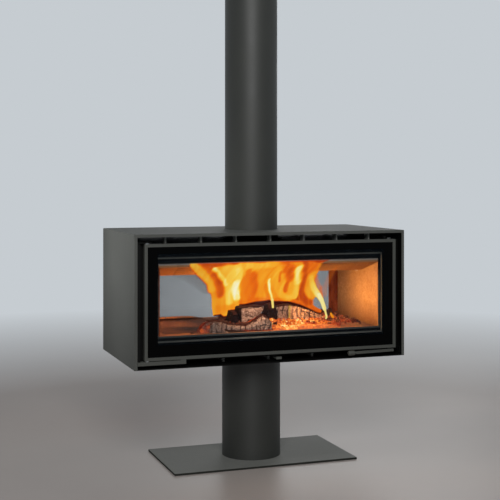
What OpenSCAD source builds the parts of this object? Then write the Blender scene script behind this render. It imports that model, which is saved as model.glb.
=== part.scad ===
// Double-sided freestanding fireplace: a see-through firebox in a wrap-round casing on a round pedestal.
// Origin at the centre of the base plate's underside, +Z up, the front door facing -Y.
// Everything at the rear is the front turned half a turn about Z.

/* [Pedestal] */
// Width of the base plate, left to right
base_w = 685; // [500:5:900]
// Depth of the base plate, front to rear
base_d = 367; // [300:1:480]
// Thickness of the base plate
base_t = 8; // [6:1:15]
// Outer diameter of the pedestal column
column_d = 214; // [210:1:260]
// Wall of the pedestal column
column_wall = 3; // [2:0.5:4]
// Height of the column, from the base plate to the casing
column_h = 372.5; // [250:0.5:600]
// Outer diameter of the structural post inside the column
post_d = 120; // [112:1:130]
// Wall of the structural post
post_wall = 5; // [3:0.5:6]
// Thickness of the post's two flanges
flange_t = 8; // [6:1:14]
// Outer diameter of the post's two flanges
flange_d = 196; // [190:1:202]
// Diameter of the outside-air opening
air_d = 100; // [80:5:100]
// Thread diameter of the foot and head bolts
bolt_d = 10; // [8:2:12]

/* [Casing] */
// Outer width of the casing
casing_w = 1000; // [900:10:1200]
// Outer depth of the casing
casing_d = 500; // [460:10:600]
// Outer height of the casing
casing_h = 454; // [440:2:520]
// Sheet thickness of the wrap
casing_wall = 4; // [2:0.5:5]
// Width of the folded return round each face
return_w = 10; // [6:1:16]
// Outer radius of the wrap's two long folds
fold_r = 3; // [1:0.5:4]
// Sheet thickness of the casing floor
floor_t = 3; // [2:0.5:5]
// Height of the casing floor's side upstands
upstand_h = 25; // [15:1:40]
// Gap between the casing floor and the air box
under_gap = 18.5; // [16:0.5:30]
// Width of the air channel between the firebox and the casing's side
side_channel = 54; // [40:1:70]

/* [Firebox] */
// Plate thickness of the firebox shell
shell_wall = 5; // [3:0.5:6]
// Height of the firebox shell
shell_h = 348; // [340:1:356]
// Distance of the face frame behind the casing's front
face_recess = 28; // [28:0.5:34]
// Plate thickness of the face frames
face_t = 4; // [3:0.5:6]
// Thickness of the vermiculite side boards
lining_t = 25; // [20:1:30]
// Thickness of the floor bricks
brick_t = 30; // [24:1:34]
// Height of the fire mouth
mouth_h = 246; // [230:1:250]
// Thickness of the deflector boards over the fire
deflector_t = 20; // [14:1:22]
// Height of the deflector's low edge above the chamber floor
throat_h = 192; // [185:1:200]
// Distance of the deflector's low edge from the stove's middle
throat_y = 76; // [60:1:90]
// Height of the bead that stands round the fire mouth
bead_h = 8; // [5:0.5:9]
// Thickness of the bead
bead_t = 3; // [2:0.5:4]
// Outer width of a corner air riser, across the wall
riser_w = 33; // [30:1:40]
// Outer depth of a corner air riser, along the wall
riser_d = 69; // [50:1:80]
// Sheet thickness of the air box, risers and ash pan
sheet_t = 3; // [2:0.5:4]

/* [Hearth] */
// Length of the grate
grate_w = 300; // [240:10:360]
// Depth of the grate
grate_d = 180; // [140:10:200]
// Number of grate bars
grate_bars = 9; // [7:1:11]
// Depth of the bars from top to bottom
grate_bar_h = 14; // [10:1:18]
// Height of the air box under the firebox
air_box_h = 50; // [44:1:56]
// Height of the ash pan
ash_pan_h = 34; // [24:1:36]

/* [Flue] */
// Outer diameter of the flue pipe
pipe_d = 193; // [150:1:200]
// Wall of the flue pipe
pipe_wall = 2; // [1:0.5:3]
// Length of the flue pipe, from its seat to its top edge
pipe_len = 1000; // [500:10:1500]
// Length of the widened socket at the pipe's top
socket_len = 50; // [30:5:80]

/* [Doors] */
// Gap between a door's side and the casing's side
door_gap_side = 34.5; // [32:0.5:40]
// Gap between a door's bottom and the casing's underside
door_gap_bottom = 30; // [28:0.5:34]
// Height of a door
door_h = 391.5; // [385:0.5:396]
// Width of the door frame's rim
rim_w = 10.5; // [8:0.5:14]
// Depth of the door frame
rim_d = 23; // [21:0.5:23]
// Distance of the glass behind the rim's front
glass_recess = 5; // [4:0.5:6]
// Thickness of the glass
glass_t = 4; // [3:0.5:5]
// Width of the black border beside the clear window
border_side = 48; // [44:0.5:52]
// Height of the black border over the clear window
border_top = 36; // [34:0.5:40]
// Height of the black border under the clear window
border_bottom = 51.5; // [46:0.5:56]
// Width of the rope seal
rope_w = 12; // [8:1:12]
// Diameter of the hinge pins
pin_d = 10; // [8:1:12]
// Diameter of the latch rod
rod_d = 8; // [6:1:8]
// Diameter of the latch lever's knob
knob_d = 17; // [12:1:22]
// Distance from the latch rod to the middle of the knob
lever_reach = 166; // [120:1:220]
// Angle at which the lever stands off the door
lever_angle = 6; // [4:0.5:8]

/* [Slots and air control] */
// Number of fins in each slot over a door
top_fins_n = 7; // [5:2:9]
// Spacing of the fins over a door
top_fin_pitch = 127; // [100:1:130]
// Thickness of a fin over a door
top_fin_t = 6; // [4:0.5:8]
// Distance of the fins over a door behind the casing's front
top_fin_recess = 47; // [44:1:60]
// Number of fins in each slot under a door
bottom_fins_n = 3; // [3:2:5]
// Spacing of the fins under a door
bottom_fin_pitch = 167; // [140:1:180]
// Thickness of a fin under a door
bottom_fin_t = 8; // [5:0.5:10]
// Distance of the fins under a door behind the casing's front
bottom_fin_recess = 66; // [60:1:72]
// Width of the air control tab
tab_w = 20; // [14:1:30]
// Height of the air control tab
tab_h = 8.5; // [6:0.5:12]
// Sideways place of the air control tab
tab_x = 15; // [-20:1:20]
// Travel of the air control to each side
air_travel = 30; // [20:1:32]

/* [Fire load] */
// Length of the front log
front_log_len = 226; // [180:2:280]
// Length of the upper log
upper_log_len = 240; // [180:2:280]
// Length of the rear log
rear_log_len = 196; // [160:2:220]
// Height of the ember bed's crown
ember_h = 16; // [8:1:24]

/* [Hidden] */

paint = [0.34, 0.35, 0.33];
dark_paint = [0.16, 0.16, 0.15];
black_steel = [0.05, 0.05, 0.05];
vermiculite = [0.82, 0.72, 0.58];
raw_steel = [0.55, 0.55, 0.54];
iron = [0.20, 0.19, 0.18];
bark = [0.42, 0.30, 0.22];
glow = [0.85, 0.35, 0.12];
seal_grey = [0.30, 0.29, 0.27];
glass_tint = [0.75, 0.80, 0.80, 0.35];

eps = 0.01; // overlap that lets a cut run right through a face
fit_gap = 0.3; // between pieces that pass each other
slip = 0.5; // between pieces that drop into place
run_gap = 0.05; // radial, a pin or rod that turns
press_gap = 0.02; // radial, a pin that stays put
tap_gap = 0.05; // radial, a bolt in its thread
hole_gap = 0.25; // radial, a bolt in its clearance hole
$fn = 64;

// Heights
casing_z = base_t + column_h;
floor_top = casing_z + floor_t;
box_z = floor_top + under_gap;
shell_z = box_z + air_box_h;
shell_top = shell_z + shell_h;
shell_floor = shell_z + shell_wall;
hearth_z = shell_floor + brick_t;
casing_top = casing_z + casing_h;
wrap_under = casing_top - casing_wall;
mouth_top = hearth_z + mouth_h;
throat_z = hearth_z + throat_h;
door_z = casing_z + door_gap_bottom;
door_top = door_z + door_h;

// Half widths and half depths
mouth_lap = 2; // how far the mouth's edges stand in front of the side boards
casing_x = casing_w / 2;
front = casing_d / 2;
wrap_x = casing_x - casing_wall;
shell_x = wrap_x - side_channel;
lining_x = shell_x - shell_wall;
board_x = lining_x - lining_t;
face_y = front - face_recess;
shell_y = face_y - face_t;
face_gap = 1; // between a face frame's sides and the casing's returns
face_x = casing_x - return_w - face_gap;
mouth_x = board_x - mouth_lap;
door_x = casing_x - door_gap_side;

// Bead round the fire mouth
bead_side = 10; // from the mouth's side to the bead
bead_drop = 18; // from the mouth's lower edge to the bead
bead_rise = 17; // from the mouth's upper edge to the bead
bead_x = mouth_x + bead_side;
bead_z0 = hearth_z - bead_drop;
bead_z1 = mouth_top + bead_rise;

// Door, measured inwards from its front face at y = -front
rim_lip = 2.5;
rebate_x = door_x - rim_w + rim_lip;
rebate_z0 = door_z + rim_w - rim_lip;
rebate_z1 = door_top - rim_w + rim_lip;
glass_gap = 0.5;
glass_y = front - glass_recess;
tape_t = 1.2;
tape_w = 14;
tape_y = glass_y - glass_t;
plate_t = 2.5;
plate_y = tape_y - tape_t;
plate_back = plate_y - plate_t;
window_x = door_x - border_side;
window_z0 = door_z + border_bottom;
window_z1 = door_top - border_top;
rim_flange_w = 8; // how far the inner frame's flange runs back into the rim
rim_flange_t = 2;
rib_t = 1.7;
rope_side = 9.5; // from the window's side to the rope
rope_over = 3; // from the window's upper and lower edges to the rope
rope_x = window_x + rope_side;
rope_z0 = window_z0 - rope_over;
rope_z1 = window_z1 + rope_over;
rib_end = face_y + bead_h + fit_gap;
rope_end = face_y + fit_gap;

// Hinge and latch places on the front door
hinge_inset = 10.5; // hinge axis behind the door's side
hinge_back = 10; // hinge axis behind the door's front
rod_inset = 16.5; // latch rod behind the door's side
hinge_x = door_x - hinge_inset;
hinge_y = front - hinge_back;
rod_x = door_x - rod_inset;
rod_gap = 0.2; // latch rod behind the inner frame's plate
rod_y = plate_back - rod_gap - rod_d / 2;

// Hinge carrier
post_flange = 9;
post_foot_w = 15;
angle_t = 4;
post_t = 3;
front_set = 1; // hinge posts and bars behind the casing's front
post_x0 = casing_x - return_w - front_set;
bar_len = 168;
bar_h = 13;
bar_drop = 2.5; // hinge bar's top below the door
bar_top = door_z - bar_drop;
end_block_w = 19;
end_block_d = 8;
end_block_lift = 2;
bar_z = bar_top - bar_h;
hinge_web_z = bar_top - angle_t;
washer_d = 16;
web_rise = 2; // upper hinge web above the door
upper_web_z = door_top + web_rise;
post_screw_d = 4;
post_screw_head_d = 7;
post_screw_bite = 3;
post_screw_len = post_t + post_screw_bite;
post_screw_first = 60; // lowest screw above the door's bottom
post_screw_pitch = 130;
post_screw_clear = 1; // screw line beside the post's flange
post_screw_x = -post_x0 + post_flange + post_screw_clear;
pin_short = 0.7; // a hinge pin ends this much before the rebate

// Latch
cam_t = 3.8;
cam_throw = 6.5;
hub_d = 14;
hub_h = 9;
hub_gap = 0.4; // between the lower cam and the lever's hub
hub_top = door_z - fit_gap - cam_t - hub_gap;
lever_z = hub_top - hub_h;
lever_t = 8;
lever_set = 3; // lever's start behind the door's front
lever_start_y = front - lever_set;
lever_tail = 8;
knob_len = 26;
neck_len = 6;
neck_d = 8;
cam_nose_d = 6.4;
cam_hub_d = rod_d + 2;
lever_arm_len = lever_reach + lever_tail - knob_len / 2 - neck_len;
keeper_t = 4;
keeper_w = 12;
keeper_h = 9;
keeper_nose = 12;
keeper_gap = 3;
door_clear = 1; // between a keeper and the door

// Pedestal bolts
foot_bolt_r = (post_d / 2 + flange_d / 2) / 2;
foot_bolt_n = 4;
beam_y = 70;
beam_w = 28;
beam_len = 460;
head_bolt_x = 50;
bolt_head_h = 6.5;
bolt_head_d = 1.7 * bolt_d;
bolt_bite = 12;
base_bolt_floor = 1; // metal left under a foot bolt's hole
sleeve_wall = 3;

// Screws of the casing and of the door frames
screw_d = 5;
screw_head_d = 9;
screw_head_h = 2.5;
screw_short = 1.5; // a screw ends this much before the bottom of its hole
casing_screw_pitch = 150;
upstand_inset = 25;
rim_screw_d = 3.5;
rim_screw_head_d = 6.5;
rim_screw_head_h = 2;
rim_screw_bite = 5;
rim_screw_len = 4.5;
rim_screw_back = 7; // screw line in front of the rim's rear edge
rim_screw_y = front - rim_d + rim_screw_back;
rim_screw_rise = 100; // the side screws above and below the door's middle
rim_screw_pitch = 300; // the upper and lower screws from the door's middle

// Air box and slider
air_box_x = 200;
air_box_y = 170;
slot_w = 30;
slot_h = 22;
slot_pitch = 65;
slots_n = 4;
slider_t = 3;
slider_len = 280;
slider_lift = 2; // slider above the air box's underside
slider_h = 34;
slot_lift = 6; // slots above the slider's lower edge
arm_t = 3;
arm_out = 17; // level part of the arm, in front of the air box
arm_slope = 21; // sloped part of the arm, front to rear
arm_drop = 9; // front of the arm below the air box
tab_lip = 1; // tab's lower edge below the arm
slider_z = box_z + slider_lift;
slot_z = slider_z + slot_lift;
arm_drop_y = air_box_y + arm_out;
arm_low_y = arm_drop_y + arm_slope;
arm_low_z = box_z - arm_drop;
guide_t = 1.7;
guide_lip = 5;
guide_foot_x = 110;
guide_foot_w = 28;
pan_x = 140;
pan_y = 80;
pan_lift = 10;
runner_w = 12;
ash_x = 135;
ash_y = 75;

// Flue
collar_gap = 0.5;
collar_t = 3;
collar_h = 28;
collar_rim = 18.5; // how far the collar's flange stands out from the pipe
collar_flange_d = pipe_d + 2 * collar_rim;
collar_flange_t = 4;
seat_h = 6;
seat_w = 3;
wrap_hole_gap = 2;
swage = 6; // length over which the pipe widens to its socket

// Inside
brick_gap = 0.5;
fin_depth = 30;
bottom_fin_depth = 64;
baffle_t = 20;
baffle_rise = 16;
baffle_lap = 34; // how far the centre baffle reaches past the throat
baffle_y = throat_y + baffle_lap;
deflector_slope = 40;
deflector_gap = 2; // between a deflector and the face frame
deflector_y = shell_y - deflector_gap;
riser_gap = 4; // between a corner riser and the face frame
riser_y = shell_y - riser_gap;
board_gap = 1; // between a side board and the face frame
baffle_z = deflector_under(baffle_y) + deflector_t + baffle_rise;
clip_w = 22;
clip_t = 2;
clip_y = -32;

// Fire load: where each log's first end lies, its turn about Z, its section, the share of its height
// that is left at its burnt waist, and the seed of its bark
log_sides = 9;
log_taper = 0.9; // size of a log's second end, as a share of its first
ember_top = hearth_z + ember_h;
front_log_x = -212;
front_log_set = 90; // from the front face frame to the log's first end
front_log_y = front_log_set - shell_y;
front_log_turn = -10;
front_log_w = 72;
front_log_h = 42;
front_log_waist = 0.5;
front_log_seed = 20;
upper_log_x = -28;
upper_log_set = 110;
upper_log_y = upper_log_set - shell_y;
upper_log_w = 96;
upper_log_h = 52;
upper_log_waist = 0.92;
upper_log_seed = 75;
rear_log_x = 62;
rear_log_set = 160;
rear_log_y = rear_log_set - shell_y;
rear_log_turn = -4;
rear_log_w = 76;
rear_log_h = 56;
rear_log_waist = 0.85;
rear_log_seed = 140;

// Draws its children at the front, then once more for the rear.
module both_faces() {
    children();
    rotate([0, 0, 180]) children();
}

module at_rear() {
    rotate([0, 0, 180]) children();
}

// A box from its lowest to its highest corner.
module block(low, high) {
    translate(low) cube(high - low);
}

// A box made from its half width, spanning y0 to y1 and z0 to z1.
module slab(half_x, y0, y1, z0, z1) {
    block([-half_x, y0, z0], [half_x, y1, z1]);
}

// A flat rectangular ring in the XZ plane, y0 to y1, given by its inner opening and its rim all round.
module ring_frame(half_x, z0, z1, rim, y0, y1) {
    difference() {
        slab(half_x + rim, y0, y1, z0 - rim, z1 + rim);
        slab(half_x, y0 - 1, y1 + 1, z0, z1);
    }
}

// A vertical tube between two heights.
module tube(d, wall, z0, z1) {
    translate([0, 0, z0]) difference() {
        cylinder(d = d, h = z1 - z0);
        translate([0, 0, -1]) cylinder(d = d - 2 * wall, h = z1 - z0 + 2);
    }
}

// A vertical cylinder between two heights, centred on [x, y].
module post_at(x, y, d, z0, z1) {
    translate([x, y, z0]) cylinder(d = d, h = z1 - z0);
}

module foot_bolt_places() {
    for (i = [0 : foot_bolt_n - 1])
        rotate([0, 0, 45 + i * 360 / foot_bolt_n]) translate([foot_bolt_r, 0, 0]) children();
}

module head_bolt_places() {
    for (x = [-head_bolt_x, head_bolt_x], y = [-beam_y, beam_y]) translate([x, y, 0]) children();
}

// Pedestal

module base_plate() {
    color(paint) difference() {
        slab(base_w / 2, -base_d / 2, base_d / 2, 0, base_t);
        translate([0, 0, -1]) cylinder(d = air_d, h = base_t + 2);
        translate([0, 0, base_bolt_floor]) foot_bolt_places()
            cylinder(d = bolt_d + 2 * tap_gap, h = base_t);
    }
}

module pedestal_column() {
    color(paint) tube(column_d, column_wall, base_t, casing_z);
}

module pedestal_post() {
    color(dark_paint) difference() {
        union() {
            tube(post_d, post_wall, base_t, casing_z);
            for (z = [base_t, casing_z - flange_t])
                tube(flange_d, (flange_d - post_d) / 2 + eps, z, z + flange_t);
        }
        foot_bolt_places() post_at(0, 0, bolt_d + 2 * hole_gap, base_t - 1, base_t + flange_t + 1);
        head_bolt_places()
            post_at(0, 0, bolt_d + 2 * hole_gap, casing_z - flange_t - 1, casing_z + 1);
    }
}

// A hexagon-head bolt with its head's seat at z = 0 and its shank running down.
module hex_bolt(shank) {
    cylinder(d = bolt_head_d, h = bolt_head_h, $fn = 6);
    translate([0, 0, -shank]) cylinder(d = bolt_d, h = shank + eps);
}

module foot_bolts() {
    color(raw_steel) translate([0, 0, base_t + flange_t])
        foot_bolt_places() hex_bolt(flange_t + base_t - 2 * base_bolt_floor);
}

module head_bolts() {
    color(raw_steel) translate([0, 0, casing_z - flange_t])
        head_bolt_places() mirror([0, 0, 1]) hex_bolt(flange_t + floor_t + bolt_bite);
}

// Casing

// The wrap's outside as one block, with its two long folds rounded.
module wrap_outside() {
    slab(casing_x, -front, front, casing_z, casing_top - fold_r);
    slab(casing_x - fold_r, -front, front, casing_z, casing_top);
    for (side = [-1, 1])
        translate([side * (casing_x - fold_r), front, casing_top - fold_r])
            rotate([90, 0, 0]) cylinder(r = fold_r, h = casing_d);
}

module casing_wrap() {
    color(paint) difference() {
        wrap_outside();
        slab(casing_x - return_w, -front - 1, front + 1, casing_z - 1, casing_top - return_w);
        slab(wrap_x, casing_wall - front, front - casing_wall, casing_z - 1, wrap_under);
        post_at(0, 0, pipe_d + 2 * wrap_hole_gap, wrap_under - 1, casing_top + 1);
        for (side = [0, 1]) rotate([0, 0, 180 * side]) casing_screw_places()
            rotate([0, 90, 0]) cylinder(d = screw_d + 2 * tap_gap, h = casing_wall - 1);
    }
}

// The three screw places on the right-hand wall, at the upstand's outer face.
module casing_screw_places() {
    for (i = [-1, 0, 1])
        translate([wrap_x, i * casing_screw_pitch, floor_top + upstand_h / 2]) children();
}

module casing_floor() {
    color(dark_paint) difference() {
        union() {
            slab(wrap_x, casing_wall - front, front - casing_wall, casing_z, floor_top);
            slab(casing_x - return_w, -front, front, casing_z, floor_top);
            both_faces()
                block([wrap_x - floor_t, upstand_inset - front, floor_top - eps],
                    [wrap_x, front - upstand_inset, floor_top + upstand_h]);
        }
        post_at(0, 0, air_d, casing_z - 1, floor_top + 1);
        head_bolt_places() post_at(0, 0, bolt_d + 2 * hole_gap, casing_z - 1, floor_top + 1);
        both_faces() casing_screw_places() rotate([0, -90, 0])
            translate([0, 0, -1]) cylinder(d = screw_d + 2 * hole_gap, h = floor_t + 2);
    }
}

// A pan-head screw along +X with its head's seat at the origin.
module pan_screw(d, head_d, head_h, shank) {
    rotate([0, 90, 0]) {
        translate([0, 0, -eps]) cylinder(d = d, h = shank + eps);
        translate([0, 0, -head_h]) cylinder(d = head_d, h = head_h);
    }
}

module body_screws() {
    color(raw_steel) {
        both_faces() casing_screw_places() translate([-floor_t, 0, 0])
            pan_screw(screw_d, screw_head_d, screw_head_h, floor_t + casing_wall - screw_short);
        both_faces() post_screw_places() rotate([0, 0, 90])
            pan_screw(post_screw_d, post_screw_head_d, screw_head_h, post_screw_len);
    }
}

// The screws that hold a hinge post to its face frame, seen at the front left.
module post_screw_places() {
    for (i = [0 : 2])
        translate([post_screw_x, -face_y - post_t, door_z + post_screw_first + i * post_screw_pitch])
            children();
}

module carrier_beams() {
    color(dark_paint) difference() {
        for (y = [-beam_y, beam_y])
            slab(beam_len / 2, y - beam_w / 2, y + beam_w / 2, floor_top, box_z);
        head_bolt_places() post_at(0, 0, bolt_d + 2 * tap_gap, floor_top - 1, floor_top + bolt_bite + 1);
    }
}

// Firebox

module firebox_shell() {
    color(black_steel) difference() {
        slab(shell_x, -shell_y, shell_y, shell_z, shell_top);
        slab(lining_x, -shell_y - 1, shell_y + 1, shell_floor, shell_top - shell_wall);
        slab(ash_x, -ash_y, ash_y, shell_z - 1, shell_floor + 1);
        post_at(0, 0, pipe_d - 2 * seat_w, shell_top - shell_wall - 1, shell_top + 1);
    }
}

// The plate that closes the shell's front round the fire mouth, with the bead that the door shuts over.
module face_frame() {
    color(black_steel) difference() {
        union() {
            slab(face_x, -face_y, -shell_y, box_z, shell_top);
            slab(bead_x + bead_t, -face_y - bead_h, -shell_y - 1, bead_z0 - bead_t, bead_z1 + bead_t);
        }
        slab(mouth_x, -face_y - bead_h - 1, -shell_y + 1, hearth_z, mouth_top);
        slab(bead_x, -face_y - bead_h - 1, -face_y, bead_z0, bead_z1);
        post_screw_places() rotate([0, 0, 90]) rotate([0, 90, 0])
            cylinder(d = post_screw_d + 2 * tap_gap, h = post_screw_len + 1);
    }
}

module front_face_frame() {
    face_frame();
}

module rear_face_frame() {
    at_rear() face_frame();
}

module air_box() {
    color(black_steel) difference() {
        union() {
            difference() {
                slab(air_box_x, -air_box_y, air_box_y, box_z, shell_z);
                slab(air_box_x - sheet_t, sheet_t - air_box_y, air_box_y - sheet_t,
                    box_z + sheet_t, shell_z + 1);
            }
            for (side = [-1, 1])
                translate([0, side * (pan_y - runner_w / 2), 0])
                    slab(pan_x, -runner_w / 2, runner_w / 2, box_z + sheet_t - eps,
                        box_z + sheet_t + pan_lift);
        }
        post_at(0, 0, air_d, box_z - 1, box_z + sheet_t + pan_lift + 1);
        air_slots(tab_x + air_travel, air_box_y, sheet_t);
    }
}

// The row of air slots, centred on x, cut through a wall whose front face is at y = -wall_y.
module air_slots(x, wall_y, wall) {
    for (i = [0 : slots_n - 1])
        translate([x + (i - (slots_n - 1) / 2) * slot_pitch, 0, 0])
            slab(slot_w / 2, -wall_y - 1, wall + 1 - wall_y, slot_z, slot_z + slot_h);
}

module duct_sleeve() {
    color(dark_paint) tube(air_d + 2 * sleeve_wall, sleeve_wall, floor_top, box_z);
}

module ash_pan() {
    pan_z = box_z + sheet_t + pan_lift;
    wall = sheet_t / 2;
    color(raw_steel) difference() {
        slab(pan_x, -pan_y, pan_y, pan_z, pan_z + ash_pan_h);
        slab(pan_x - wall, wall - pan_y, pan_y - wall, pan_z + wall, pan_z + ash_pan_h + 1);
    }
}

module grate() {
    skirt = 10;
    bar_t = 9;
    gap_d = grate_d - 2 * skirt;
    pitch = (gap_d + bar_t) / (grate_bars + 1);
    color(iron) {
        difference() {
            slab(grate_w / 2, -grate_d / 2, grate_d / 2, shell_floor, hearth_z);
            slab(grate_w / 2 - skirt, skirt - grate_d / 2, grate_d / 2 - skirt,
                shell_floor - 1, hearth_z + 1);
        }
        for (i = [1 : grate_bars])
            translate([0, i * pitch - (gap_d + bar_t) / 2, 0])
                slab(grate_w / 2 - skirt + eps, -bar_t / 2, bar_t / 2, hearth_z - grate_bar_h, hearth_z);
    }
}

// The corner riser's outline, grown by a gap, at the rear right.
module riser_block(grow) {
    block([lining_x - riser_w - grow, riser_y - riser_d - grow, shell_floor],
        [lining_x + 1, riser_y + grow, shell_top - shell_wall]);
}

module floor_bricks() {
    side_x = board_x - 2 * brick_gap;
    grate_x = grate_w / 2 + brick_gap;
    grate_y = grate_d / 2 + brick_gap;
    color(vermiculite) both_faces() difference() {
        union() {
            block([-side_x, grate_y, shell_floor], [side_x, shell_y - brick_gap, hearth_z]);
            block([grate_x, -grate_y + brick_gap, shell_floor], [side_x, grate_y - brick_gap, hearth_z]);
        }
        riser_block(brick_gap);
    }
}

// Height of the deflector's underside at a distance y from the stove's middle.
function deflector_under(y) = throat_z + max(0, y - throat_y) * deflector_slope / (deflector_y - throat_y);

// The board stands on the shell floor, and its top edge follows the deflectors' undersides.
module side_board() {
    front_y = shell_y - board_gap;
    rear_y = riser_y - riser_d - brick_gap;
    top = [
        [front_y, deflector_under(front_y)],
        [throat_y, throat_z],
        [-throat_y, throat_z],
        [-rear_y, deflector_under(rear_y)]
    ];
    profile = concat([[-rear_y, shell_floor], [front_y, shell_floor]], top);
    translate([lining_x - slip, 0, 0]) rotate([0, -90, 0])
        linear_extrude(height = lining_t - slip)
            polygon([for (p = profile) [p[1], -p[0]]]);
}

module right_side_board() {
    color(vermiculite) side_board();
}

module left_side_board() {
    color(vermiculite) at_rear() side_board();
}

// A board over the front half of the chamber, low at the throat and rising to the mouth.
module deflector() {
    profile = [
        [deflector_y, deflector_under(deflector_y)],
        [throat_y, throat_z],
        [throat_y, throat_z + deflector_t],
        [deflector_y, deflector_under(deflector_y) + deflector_t]
    ];
    difference() {
        translate([lining_x - slip, 0, 0]) rotate([0, -90, 0])
            linear_extrude(height = 2 * (lining_x - slip))
                polygon([for (p = profile) [p[1], -p[0]]]);
        at_rear() riser_block(brick_gap);
    }
}

module front_deflector() {
    color(vermiculite) deflector();
}

module rear_deflector() {
    color(vermiculite) at_rear() deflector();
}

module centre_baffle() {
    color(vermiculite) slab(lining_x - slip, -baffle_y, baffle_y, baffle_z, baffle_z + baffle_t);
}

// Angles welded to the shell's side walls, which carry the centre baffle.
module baffle_brackets() {
    leg = 14;
    t = 3;
    half = 45;
    color(black_steel) both_faces() translate([lining_x, 0, baffle_z]) {
        block([-leg, -half, -t], [0, half, 0]);
        block([-t, -half, -leg], [0, half, -t + eps]);
    }
}

// A folded strip over each side board's top edge, which holds the board to the shell wall.
module lining_clips() {
    drop = 9;
    color(raw_steel) both_faces() translate([0, clip_y, throat_z]) {
        block([board_x - clip_t, -clip_w / 2, 0], [lining_x, clip_w / 2, clip_t]);
        block([board_x - clip_t, -clip_w / 2, -drop], [board_x, clip_w / 2, eps]);
    }
}

module corner_risers() {
    wall = sheet_t;
    color(dark_paint) both_faces() difference() {
        intersection() {
            riser_block(0);
            slab(lining_x, -shell_y, shell_y, shell_floor, shell_top - shell_wall);
        }
        block([lining_x - riser_w + wall, riser_y - riser_d + wall, shell_floor - 1],
            [lining_x - wall, riser_y - wall, shell_top]);
    }
}

// Flue

module flue_collar() {
    inner_r = pipe_d / 2 + collar_gap;
    seat_r = pipe_d / 2 - seat_w;
    color(black_steel) translate([0, 0, shell_top]) rotate_extrude($fn = 96) polygon([
        [seat_r, 0], [collar_flange_d / 2, 0], [collar_flange_d / 2, collar_flange_t],
        [inner_r + collar_t, collar_flange_t], [inner_r + collar_t, collar_h],
        [inner_r, collar_h], [inner_r, seat_h], [seat_r, seat_h]
    ]);
}

// The pipe's top is widened to a socket that takes the next length of the same pipe.
module flue_pipe() {
    r = pipe_d / 2;
    socket_r = r + collar_gap;
    color(paint) translate([0, 0, shell_top + seat_h]) rotate_extrude($fn = 96) polygon([
        [r - pipe_wall, 0], [r, 0], [r, pipe_len - socket_len - swage],
        [socket_r + pipe_wall, pipe_len - socket_len], [socket_r + pipe_wall, pipe_len],
        [socket_r, pipe_len], [socket_r, pipe_len - socket_len],
        [r - pipe_wall, pipe_len - socket_len - swage]
    ]);
}

// Slots

module top_fins() {
    y = -front + top_fin_recess;
    color(paint) both_faces() for (i = [0 : top_fins_n - 1])
        translate([(i - (top_fins_n - 1) / 2) * top_fin_pitch, 0, 0])
            slab(top_fin_t / 2, y, y + fin_depth, shell_top, wrap_under);
}

module bottom_fins() {
    y = -front + bottom_fin_recess;
    color(paint) both_faces() for (i = [0 : bottom_fins_n - 1])
        translate([(i - (bottom_fins_n - 1) / 2) * bottom_fin_pitch, 0, 0])
            slab(bottom_fin_t / 2, y, y + bottom_fin_depth, floor_top, box_z);
}

// Hinges, drawn at the front left

module hinge_post() {
    foot_z = bar_top + fit_gap;
    set_y = front_set - front;
    pin_land = 2;
    web_x = post_x0 - hinge_x + pin_d + 2 * pin_land;
    color(dark_paint) difference() {
        union() {
            block([-post_x0, set_y, foot_z], [-post_x0 + post_flange, set_y + angle_t, door_top]);
            block([-post_x0, set_y, foot_z], [-post_x0 + post_t, -face_y, upper_web_z + angle_t]);
            block([-post_x0, -face_y - post_t, foot_z], [-post_x0 + post_foot_w, -face_y, shell_top]);
            block([-post_x0, -hinge_y - pin_d / 2 - pin_land, upper_web_z],
                [-post_x0 + web_x, -face_y, upper_web_z + angle_t]);
        }
        post_at(-hinge_x, -hinge_y, pin_d + 2 * press_gap, upper_web_z - 1, upper_web_z + angle_t + 1);
        post_screw_places() rotate([0, 0, 90]) rotate([0, 90, 0])
            translate([0, 0, -1]) cylinder(d = post_screw_d + 2 * hole_gap, h = post_t + 2);
    }
}

// The carrier under the door: a bar at the front, a web back to the face frame and an end block.
module hinge_bar() {
    web_len = 150;
    set_y = front_set - front;
    color(paint) difference() {
        union() {
            block([-post_x0, set_y, bar_z], [-post_x0 + bar_len, set_y + angle_t, bar_top]);
            block([-post_x0, set_y + angle_t - eps, hinge_web_z],
                [-post_x0 + web_len, -face_y, hinge_web_z + angle_t]);
            block([-post_x0 + bar_len - end_block_w, set_y, bar_z + end_block_lift],
                [-post_x0 + bar_len, set_y + end_block_d, door_z - fit_gap]);
        }
        post_at(-hinge_x, -hinge_y, pin_d + 2 * press_gap, hinge_web_z - 1, hinge_web_z + angle_t + 1);
    }
}

module front_hinge_post() {
    hinge_post();
}

module rear_hinge_post() {
    at_rear() hinge_post();
}

module front_hinge_bar() {
    hinge_bar();
}

module rear_hinge_bar() {
    at_rear() hinge_bar();
}

// Each door hangs on a lower and an upper pin with a washer between the web and the door.
module hinge_pins() {
    bite = rebate_z0 - door_z - pin_short;
    web_top = hinge_web_z + angle_t;
    color(raw_steel) both_faces() {
        post_at(-hinge_x, -hinge_y, pin_d, hinge_web_z, door_z + bite);
        post_at(-hinge_x, -hinge_y, washer_d, web_top, door_z - fit_gap);
        post_at(-hinge_x, -hinge_y, pin_d, door_top - bite, upper_web_z + angle_t);
        post_at(-hinge_x, -hinge_y, washer_d, door_top + fit_gap, upper_web_z);
    }
}

// A keeper stands beside a latch cam, with its corner cut back where the cam comes round.
module latch_keeper(z0, z1) {
    x1 = rod_x - cam_throw - cam_nose_d / 2 - keeper_gap;
    x0 = x1 - keeper_w;
    reach = -face_y - keeper_t - keeper_nose;
    translate([0, 0, z0]) linear_extrude(height = z1 - z0) polygon([
        [x0, -face_y], [x1, -face_y], [x1, reach + keeper_nose / 2],
        [x1 - keeper_nose / 2, reach], [x0, reach]
    ]);
}

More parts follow.
